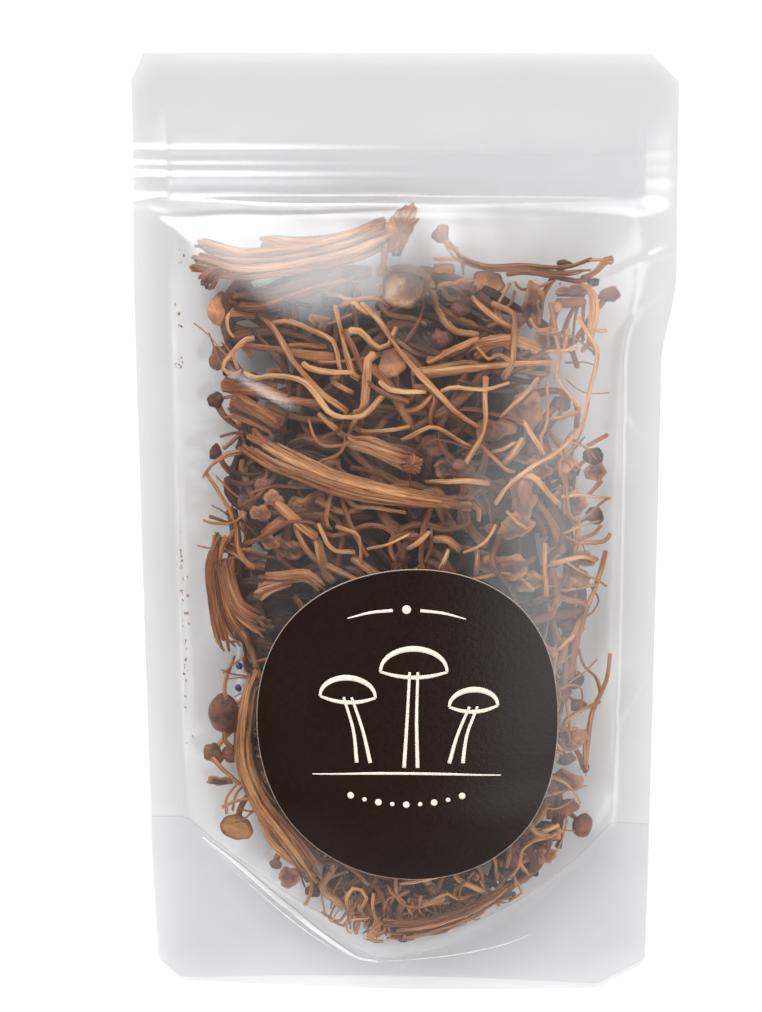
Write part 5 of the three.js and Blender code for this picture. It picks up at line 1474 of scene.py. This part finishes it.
laidCaps = [
    # x, y, half width, half height, share of the height, how light, kind
    (-41, 51.5, 2.3, 3.7, 0.9, 0.98, "dome"), (-14.5, 55, 4, 4, 0.75, 0.3, "dome"),
    (-10.5, 59.5, 3.6, 2, 0.6, 0.45, "dome"), (-40.5, 41, 2.2, 2.9, 0.8, 0.5, "dome"),
    (-2, 41, 3.1, 3.1, 0.96, 0.75, "dome"), (-41.5, 31.5, 1.8, 1.9, 0.75, 0.35, "dome"),
    (-41.5, 20, 1.4, 1.9, 0.7, 0.2, "dome"), (7, 23, 3.2, 2.6, 0.93, 0.4, "dome"),
    (27.5, 31, 3.9, 3.2, 0.9, 0.55, "leaf"), (35.5, 32, 1.9, 1.9, 0.85, 0.3, "dome"),
    (42.5, 19.5, 2.6, 1.9, 0.7, 0.25, "dome"), (43, 16.5, 1.9, 1.6, 0.65, 0.45, "leaf"),
    (9, 46, 2.6, 1.9, 0.8, 0.4, "dome"), (13, 19.5, 1.6, 1.6, 0.97, 0.6, "side"),
    (31, 46, 1.6, 2.3, 0.8, 0.2, "leaf"), (20.5, 26.5, 3.6, 2.6, 0.8, 0.4, "leaf"),
    (26.5, 41, 2.9, 1.3, 0.8, 0.25, "leaf"), (18.5, 57.5, 3.8, 3.1, 0.8, 0.35, "ring"),
    (12.5, 56.5, 3.8, 2.4, 0.8, 0.4, "leaf"), (13, 52.5, 2.4, 1.9, 0.85, 0.3, "dome"),
    (25.5, 50.5, 1.7, 1.7, 0.8, 0.5, "dome"), (35.5, 62, 1.7, 0.9, 0.5, 0.15, "dome"),
    (45.5, 55.5, 2.4, 1.7, 0.5, 0.5, "dome"), (28.5, 53, 2.1, 4.1, 0.7, 0.3, "leaf"),
    (37.5, 56, 3.1, 1.4, 0.5, 0.25, "leaf"), (34, 53, 1.2, 1.2, 0.6, 0.8, "ring"),
    (42, 58, 1.4, 0.9, 0.5, 0.2, "dome"), (29.5, 54, 1.7, 3.1, 0.7, 0.25, "leaf"),
    (-35, 9.5, 1.7, 1.9, 0.75, 0.35, "dome"), (-40.5, -1, 1.3, 1.3, 0.7, 0.4, "dome"),
    (-35.5, -2, 1.2, 1.5, 0.7, 0.2, "dome"), (-28, 11, 2.2, 1.5, 0.9, 0.6, "leaf"),
    (-31, 7.5, 1.9, 1.9, 0.88, 0.55, "leaf"), (-22.5, 14, 1.9, 1.2, 0.93, 0.65, "leaf"),
    (-25, -0.5, 3.1, 2.8, 0.85, 0.4, "leaf"), (-29, 1, 1.9, 1.5, 0.85, 0.45, "leaf"),
    (-20.5, 8.5, 3.7, 2.8, 0.7, 0.2, "leaf"), (27, 11.5, 3.1, 4, 0.9, 0.5, "leaf"),
    (25.5, 5, 3.6, 2.6, 0.85, 0.4, "leaf"), (23, -4, 4.5, 2.9, 0.88, 0.4, "leaf"),
    (28.5, -7.5, 2.9, 2.6, 0.85, 0.35, "leaf"), (43, 6, 2.3, 2, 0.6, 0.2, "dome"),
    (43, 16, 1.9, 1.9, 0.65, 0.5, "leaf"), (39.5, 9, 1.9, 1.9, 0.65, 0.6, "leaf"),
    (35.5, -8.5, 3.2, 1.9, 0.75, 0.45, "leaf"), (4, 8, 2.3, 1.9, 0.85, 0.3, "leaf"),
    (14, 6.5, 1.6, 2.6, 0.8, 0.3, "leaf"), (41, -3.5, 2.6, 1.5, 0.7, 0.35, "leaf"),
    (30.5, 17.5, 2.6, 1.9, 0.8, 0.3, "leaf"), (-40.4, -41, 4.0, 4.6, 0.9, 0.42, "smooth"),
    (-43, -50.5, 2.6, 2.6, 0.6, 0.38, "dome"), (-39, -50.5, 2.2, 2.2, 0.6, 0.35, "dome"),
    (-42, -57.5, 2.4, 1.1, 0.4, 0.15, "leaf"), (-38, -68, 4.1, 3.7, 0.75, 0.7, "bowl"),
    (-34, -29.5, 2.2, 2.6, 0.6, 0.2, "leaf"), (-29, -77, 1.6, 1.3, 0.6, 0.35, "dome"),
    (38, -19, 2.5, 1.9, 0.6, 0.25, "dome"), (37.5, -25.5, 2.3, 1.8, 0.6, 0.25, "leaf"),
    (38.5, -32, 3, 2.4, 0.5, 0.2, "smooth"), (40, -38, 1.9, 1.6, 0.5, 0.35, "dome"),
    (39, -45.5, 3.2, 2.5, 0.7, 0.55, "leaf"), (37.5, -50.5, 2.1, 1.8, 0.6, 0.25, "dome"),
    (37.5, -56, 3.2, 2.8, 0.7, 0.45, "leaf"), (37, -62.5, 3.2, 2.8, 0.65, 0.4, "dome"),
    (41.5, -67, 2.4, 2.9, 0.6, 0.5, "smooth"), (32.5, -73.5, 2.3, 2.1, 0.7, 0.65, "leaf"),
    (42, -53, 0.8, 1.4, 0.5, 0.2, "dome"), (33.5, -67.5, 2.8, 1.8, 0.8, 0.6, "leaf"),
    (-26, -80.5, 2.6, 2, 0.6, 0.35, "leaf"), (-20.5, -84, 2, 1.8, 0.6, 0.2, "dome"),
    (26, -74, 3.8, 2.8, 0.8, 0.5, "leaf"), (32, -74.5, 2.4, 1.9, 0.6, 0.6, "dome"),
    (26.5, -79, 3.1, 2, 0.6, 0.35, "leaf"), (24, -84.5, 2.4, 1.5, 0.6, 0.2, "dome"),
    (-13, -83.5, 2, 2, 0.7, 0.15, "leaf"), (-17.5, -74.5, 2.6, 2, 0.8, 0.5, "leaf"),
]


def makeTangle():
    tangle, laid, capParts, underParts = Parts(), Parts(), Parts(), Parts()
    layMarkedStems(laid)
    layMarkedCaps(laid, capParts, underParts)
    layLooseStems(tangle, capParts)
    layCrumpledCaps(capParts)
    layFibres(laid)
    pieces = [tangle.make("looseStems", materials["stem"]), laid.make("laidStems", materials["stem"])]
    pieces.append(makeShadeCore())
    caps = [capParts.make("looseCaps", materials["cap"]), underParts.make("upturnedCaps", materials["gills"])]
    for piece in pieces + caps:
        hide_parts("tangle")


print("tangle")
makeTangle()


# crumbs
crumbs = {
    "seed": 8, "alongSeal": 60, "scattered": 40, "size": (0.1, 0.34),
    # heaps along the left seal: how many, where in y, how wide each is, and how far from the seal
    "heaps": 14, "heapsIn": (-62, 66), "heapSpread": 1.6, "fromSeal": (0.7, 0.35),
    "acrossIn": (-44, 44), "alongIn": (-84, 58),
    # a crumb's section in shares of its size, how uneven and stretched it is, and its height over the film
    "rise": [-0.55, -0.4, 0.05, 0.4, 0.5], "out": [0, 0.8, 1.0, 0.75, 0], "facets": 7, "uneven": (0.6, 1.3),
    "stretch": (0.4, 1.0), "long": 1.4, "flat": 0.7, "turn": 0.5, "above": 0.35, "middle": 0.5,
}


def makeCrumbs():
    # fine dust, caught mostly along the left seal
    c = crumbs
    rng = np.random.default_rng(c["seed"])
    parts = Parts()
    heaps = rng.uniform(*c["heapsIn"], c["heaps"])
    ring = ringAngles(c["facets"])
    for i in range(c["alongSeal"] + c["scattered"]):
        if i < c["alongSeal"]:
            y = rng.choice(heaps) + rng.normal(0, c["heapSpread"])
            x = float(leftEdge(y)) + pouch["sideSeal"] + rng.normal(*c["fromSeal"])
        else:
            x, y = rng.uniform(*c["acrossIn"]), rng.uniform(*c["alongIn"])
        size = rng.uniform(*c["size"])
        x, y = (float(v) for v in drawInto(x, y, 0.0))
        z = float(backInner(x, y)) + c["above"] + size * c["middle"]
        rise, out = (np.array(c[way])[:, None] * size for way in ("rise", "out"))
        out = out * rng.uniform(*c["uneven"], (len(out), c["facets"]))
        stretch, turn = rng.uniform(*c["stretch"]), rng.normal(0, c["turn"])
        px, py = turned(out * np.cos(ring) * stretch, out * np.sin(ring) * c["long"], turn)
        points = np.stack([x + px, y + py, z + rise * c["flat"] + 0 * px], -1)
        parts.addGrid(points, (rng.uniform(0.3, 1), rng.uniform(0.6, 1), 0.5, 1), closedAround=True)
    piece = parts.make("crumbs", materials["stem"])


print("crumbs")
makeCrumbs()


# desiccant sachet
def sachetMaterial():
    n = Nodes("sachetPaper")
    fibrous = n.noise(700.0, 5.0, 0.7)
    beads = n.add("TexVoronoi", Vector=n.place(), Scale=420.0)
    colour = n.ramp(fibrous, [(0.35, fromSrgb(214, 216, 222)), (0.65, fromSrgb(246, 246, 246))])
    height = n.maths("SUBTRACT", n.scaled(fibrous, 0.25), beads)
    return n.solid(colour, 0.75, Normal=n.bumped(height, 0.6, 0.001))


def sachetSwell(u, v):
    # how full the sachet is, from its middle to its flat edge
    return sachet["swell"] * np.maximum(0, (1 - u ** 4) * (1 - v ** 4)) ** 0.5


def makeSachet():
    s = sachet
    u = np.linspace(-1, 1, 44)[None, :] + np.zeros((60, 1))
    v = np.linspace(-1, 1, 60)[:, None] + np.zeros((1, 44))
    x, y = s["x"] + s["width"] / 2 * u, s["y"] + s["height"] / 2 * v
    swell = sachetSwell(u, v)
    low = backInner(x, y) + s["lift"]
    grain = (gentleRelief(x, y, 12, 3.2, 0.12) + gentleRelief(x, y, 13, 9, 0.18)) * swell / s["swell"]
    top = low + s["edge"] * 0.5 + swell + grain
    parts = Parts()
    closedSheet(parts, np.stack([x, y, top], -1), np.stack([x, y, low], -1))
    piece = parts.make("desiccantSachet", sachetMaterial())
    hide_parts("desiccant_sachet")


def beadMaterial():
    n = Nodes("beadGlass")
    colour = n.ramp(n.noise(900.0, 2.0), [(0.35, fromSrgb(28, 58, 120)), (0.7, fromSrgb(70, 112, 176))])
    return n.solid(colour, 0.25)


beads = {
    # three of them are where they show best, the first two of these larger
    "seed": 19, "shown": [(-37.4, -31), (-37.7, -36.3), (-26.5, -18.4)], "large": 2, "largeRadius": 0.85,
    "hidden": 26, "spread": (13, 20), "radius": (0.45, 0.65),
}


def makeBeads():
    # blue indicator beads showing through the sachet's face
    rng = np.random.default_rng(beads["seed"])
    wide, high = beads["spread"]
    places = list(beads["shown"])
    for i in range(beads["hidden"]):
        places.append((sachet["x"] + rng.uniform(-wide, wide), sachet["y"] + rng.uniform(-high, high)))
    parts = Parts()
    up = np.linspace(-np.pi / 2, np.pi / 2, 9)[:, None]
    ring = ringAngles(14)
    for i, (x, y) in enumerate(places):
        radius = beads["largeRadius"] if i < beads["large"] else rng.uniform(*beads["radius"])
        u, v = (x - sachet["x"]) / sachet["width"] * 2, (y - sachet["y"]) / sachet["height"] * 2
        z = float(backInner(x, y)) + sachet["lift"] + sachet["edge"] * 0.5 + sachetSwell(u, v)
        ball = np.stack([np.cos(up) * np.cos(ring), np.cos(up) * np.sin(ring), np.sin(up) + 0 * ring], -1)
        parts.addGrid(np.array([x, y, z]) + radius * ball, plainTint, closedAround=True)
    piece = parts.make("sachetBeads", beadMaterial())


print("sachet")
makeSachet()
makeBeads()


# label
label = {
    "x": 1.7, "y": -38.9, "radius": 35.5, "squareness": 0.55, "lean": 0.5, "tall": 1.3, "lift": 0.3,
    "thickness": 0.3, "overWrinkles": 0.35, "rimThickness": 0.75,
}


def labelEdge(angle):
    square = label["squareness"] * np.cos(4 * angle)
    lean = label["lean"] * (np.cos(angle) - np.cos(3 * angle))
    return label["radius"] - square + lean - label["tall"] * np.cos(2 * angle)


def labelMaterial():
    n = Nodes("labelPaper")
    pulp = n.noise(900.0, 4.0, 0.7)
    broad = n.noise(60.0, 2.0)
    colour = n.ramp(n.maths("ADD", n.scaled(pulp, 0.6), n.scaled(broad, 0.4)),
                    [(0.3, fromSrgb(22, 9, 3)), (0.7, fromSrgb(34, 17, 8))])
    colour = n.blend(n.tint()[2], colour, fromSrgb(168, 152, 140))
    rough = n.shaded(pulp, 0.3, 0.7, 0.3, 0.37)
    return n.solid(colour, rough, 0.37, Normal=n.bumped(pulp, 0.25, 0.0003))


def inkMaterial():
    n = Nodes("labelInk")
    worn = n.noise(1500.0, 3.0)
    return n.solid(n.ramp(worn, [(0.25, fromSrgb(214, 200, 182)), (0.5, fromSrgb(240, 229, 214))]), 0.45)


def labelHeight(x, y):
    # the sticker is stiffer than the film, so it bridges the film's small wrinkles
    film = frontInner(x, y) + pouch["filmSeat"] + pouch["filmThickness"]
    return film + label["overWrinkles"] + label["lift"]


def makeLabel():
    sides, rings = 120, 26
    angle = ringAngles(sides)
    share = np.concatenate([[0], np.linspace(0.05, 0.985, rings), [0.993, 0.998, 1.0]])[:, None]
    x = label["x"] + labelEdge(angle) * share * np.cos(angle)
    y = label["y"] + labelEdge(angle) * share * np.sin(angle)
    low = labelHeight(x, y)
    top = low + label["thickness"] * np.where(share > 0.999, label["rimThickness"], 1)
    shell = bothSides([x, y, top], [x, y, low])
    # only the cut rim is pale
    shades = np.zeros((*shell.shape[:2], 4)) + plainTint[0]
    shades[..., 2] = (np.concatenate([share, share[::-1]]) > 0.995) * 1.0
    parts = Parts()
    parts.addGrid(shell, shades, closedAround=True, uv=(100, 50), flip=True)
    piece = parts.make("labelSticker", labelMaterial())
    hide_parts("label")


labelPrint = {
    # three plain mushrooms in outline: foot x, foot y, stem height, lean, cap half width
    "mushrooms": [(-9.5, -11, 15, -3.5, 6.2), (1.0, -12, 22, 0.6, 7.4), (11.0, -11, 13, 3.8, 5.4)],
    "stemHalf": (1.5, 1.05, 0.9), "bend": 0.35, "stemWidths": [0.85, 0.7, 0.6],
    "domeWidths": [0.6, 1.1, 1.3, 1.1, 0.6], "domeHeight": 0.72,
    "underWidths": [0.55, 0.8, 0.9, 0.8, 0.55],
    "underPath": [(-1, 0), (-0.5, -0.9), (0, -1.2), (0.5, -0.9), (1, 0)],
    "ground": [(-21, -14.2), (-7, -13.4), (7, -13.4), (21, -14.2)], "groundWidths": [0.25, 0.6, 0.6, 0.25],
    "dots": 9, "dotStep": 3.1, "dotsBelow": -20.5, "dotsCurve": 0.012, "dotRadii": (0.75, 0.5),
    "rule": [(3, 24), (8, 23.4), (13, 22)], "ruleWidths": [0.7, 0.6, 0.25], "ruleDot": (24.2, 1.0),
    "above": 3, "depth": 0.05, "step": 0.5,
}


def addInk(parts, points, width):
    # a flat printed line of changing width, laid on the label
    path = curveThrough(points, max(12, int(pathLength(np.asarray(points, float)) / labelPrint["step"])))
    normal = besidePath(path)
    half = np.interp(np.linspace(0, 1, len(path)), np.linspace(0, 1, len(width)), width)[:, None] / 2
    across = np.array([-1, -0.33, 0.33, 1, 1, -1])
    grid = path[:, None] + normal[:, None] * (half * across)[..., None]
    level = labelPrint["depth"] * np.array([1] * 4 + [-1] * 2)
    z = labelHeight(grid[..., 0], grid[..., 1]) + label["thickness"] + level
    parts.addGrid(withEnds(np.concatenate([grid, z[..., None]], -1)), plainTint, closedAround=True, flip=True)


def addDot(parts, x, y, radius):
    angle = ringAngles(20)
    share = np.array([0, 0.5, 1, 1, 0])[:, None]
    px, py = x + radius * share * np.cos(angle), y + radius * share * np.sin(angle)
    z = labelHeight(px, py) + label["thickness"] + np.array([1, 1, 1, -1, -1])[:, None] * labelPrint["depth"]
    parts.addGrid(np.stack([px, py, z], -1), plainTint, closedAround=True, flip=True)


def makeLabelPrint():
    parts = Parts()
    p = labelPrint
    cx, cy = label["x"], label["y"] + p["above"]
    for footX, footY, height, lean, half in p["mushrooms"]:
        x, y = cx + footX, cy + footY
        topX, topY = x + lean, y + height
        foot, waist, neck = p["stemHalf"]
        for s in (-1, 1):
            middle = (x + s * waist + lean * p["bend"], y + height / 2)
            addInk(parts, [(x + s * foot, y), middle, (topX + s * neck, topY)], p["stemWidths"])
        dome = [(topX + half * math.cos(a), topY + half * p["domeHeight"] * math.sin(a))
                for a in np.linspace(0, np.pi, 9)]
        addInk(parts, dome, p["domeWidths"])
        addInk(parts, [(topX + half * u, topY + v) for u, v in p["underPath"]], p["underWidths"])
    addInk(parts, [(cx + u, cy + v) for u, v in p["ground"]], p["groundWidths"])
    for i in range(p["dots"]):
        across = (i - (p["dots"] - 1) / 2) * p["dotStep"]
        down = p["dotsBelow"] + p["dotsCurve"] * across * across
        addDot(parts, cx + across, cy + down, p["dotRadii"][i % 2])
    for s in (-1, 1):
        addInk(parts, [(cx + s * u, cy + v) for u, v in p["rule"]], p["ruleWidths"])
    dotY, dotRadius = p["ruleDot"]
    addDot(parts, cx, cy + dotY, dotRadius)
    piece = parts.make("labelPrint", inkMaterial())


print("label")
makeLabel()
makeLabelPrint()


# zip strips keep their own solids
for nodeName in ("zip_rib_strip", "zip_groove_strip"):
    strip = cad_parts[nodeName]
    strip.data.materials.clear()
    strip.data.materials.append(materials["zip"])


# camera, floor and lights
view = {
    # place in mm, turn in degrees, focal length and frame width in pixels, sensor width in mm
    "place": (21.8, 131.9, 584.85), "turn": (-12.16, 2.63, -0.02), "focal": 2634, "frameWidth": 762,
    "sensor": 36,
}
studio = {
    "horizon": 0.785, "zenith": 0.09, "floor": 0.96, "floorHalf": 3,
    "bounces": {"transparent_max_bounces": 32, "max_bounces": 6, "diffuse_bounces": 2, "glossy_bounces": 2},
    # place and aim in mm, size in mm, power in watts
    "lamps": [
        {"name": "keyLamp", "at": (-340, 800, 800), "aim": (0, 0, 0), "size": (640, 360), "power": 1.78},
        {"name": "lowLamp", "at": (160, -740, 760), "aim": (20, -20, 0), "size": (700, 400), "power": 3.5},
    ],
    # bright and dark soft patches of the room: way to them, half angles of the middle and the edge, strength
    "glows": [
        {"way": (-0.34, 0.68, 0.65), "middle": 10, "edge": 28.5, "strength": 6.0},
        {"way": (0.68, -0.08, 0.72), "middle": 9, "edge": 33, "strength": 2.0},
        {"way": (-0.98, -0.15, 0.12), "middle": 15, "edge": 52, "strength": -0.5},
        {"way": (0.98, -0.15, 0.0), "middle": 10, "edge": 40, "strength": -0.3},
    ],
}


def lookWorld(tree):
    # soft walls, darker overhead, with broad glows that the film mirrors
    def add(kind, **settings):
        node = tree.nodes.new("ShaderNode" + kind)
        for key, value in settings.items():
            setattr(node, key, value)
        return node

    way = add("TexCoord").outputs[0]
    split = add("SeparateXYZ")
    tree.links.new(way, split.inputs[0])
    walls = add("MapRange")
    walls.inputs[3].default_value = studio["horizon"]
    walls.inputs[4].default_value = studio["zenith"]
    tree.links.new(split.outputs[2], walls.inputs[0])
    total = walls.outputs[0]
    for glow in studio["glows"]:
        near = add("VectorMath", operation="DOT_PRODUCT")
        near.inputs[1].default_value = Vector(glow["way"]).normalized()
        tree.links.new(way, near.inputs[0])
        soft = add("MapRange", interpolation_type="SMOOTHSTEP")
        soft.inputs[1].default_value = math.cos(math.radians(glow["edge"]))
        soft.inputs[2].default_value = math.cos(math.radians(glow["middle"]))
        soft.inputs[4].default_value = glow["strength"]
        tree.links.new(near.outputs[1], soft.inputs[0])
        both = add("Math", operation="ADD")
        tree.links.new(total, both.inputs[0])
        tree.links.new(soft.outputs[0], both.inputs[1])
        total = both.outputs[0]
    background = tree.nodes["Background"]
    background.inputs[0].default_value = (1, 1, 1, 1)
    tree.links.new(total, background.inputs[1])


def makeStudio():
    scene = bpy.context.scene
    scene.view_settings.view_transform = "Standard"
    for setting, count in studio["bounces"].items():
        setattr(scene.cycles, setting, count)
    camera = bpy.data.objects.new("camera", bpy.data.cameras.new("camera"))
    camera.location = Vector(view["place"]) * mm
    camera.rotation_euler = Euler([math.radians(a) for a in view["turn"]], "XYZ")
    camera.data.sensor_fit = "HORIZONTAL"
    camera.data.sensor_width = view["sensor"]
    camera.data.lens = view["sensor"] * view["focal"] / view["frameWidth"]
    camera.data.clip_start = 0.01
    scene.collection.objects.link(camera)
    scene.camera = camera
    world = bpy.data.worlds.new("softRoom")
    world.use_nodes = True
    lookWorld(world.node_tree)
    scene.world = world
    for lamp in studio["lamps"]:
        data = bpy.data.lights.new(lamp["name"], "AREA")
        data.shape = "RECTANGLE"
        data.size, data.size_y = (s * mm for s in lamp["size"])
        data.energy = lamp["power"]
        light = bpy.data.objects.new(lamp["name"], data)
        light.location = Vector(lamp["at"]) * mm
        light.rotation_euler = (Vector(lamp["aim"]) - Vector(lamp["at"])).to_track_quat("-Z", "Y").to_euler()
        light.visible_glossy = False
        scene.collection.objects.link(light)
    mesh = bpy.data.meshes.new("floor")
    half = studio["floorHalf"]
    corners = [(-half, -half, 0), (half, -half, 0), (half, half, 0), (-half, half, 0)]
    mesh.from_pydata(corners, [], [(0, 1, 2, 3)])
    floor = bpy.data.objects.new("floor", mesh)
    scene.collection.objects.link(floor)
    n = Nodes("paleFloor")
    floor.data.materials.append(n.finish(n.add("BsdfDiffuse", Color=(studio["floor"],) * 3 + (1,))))


print("studio")
makeStudio()
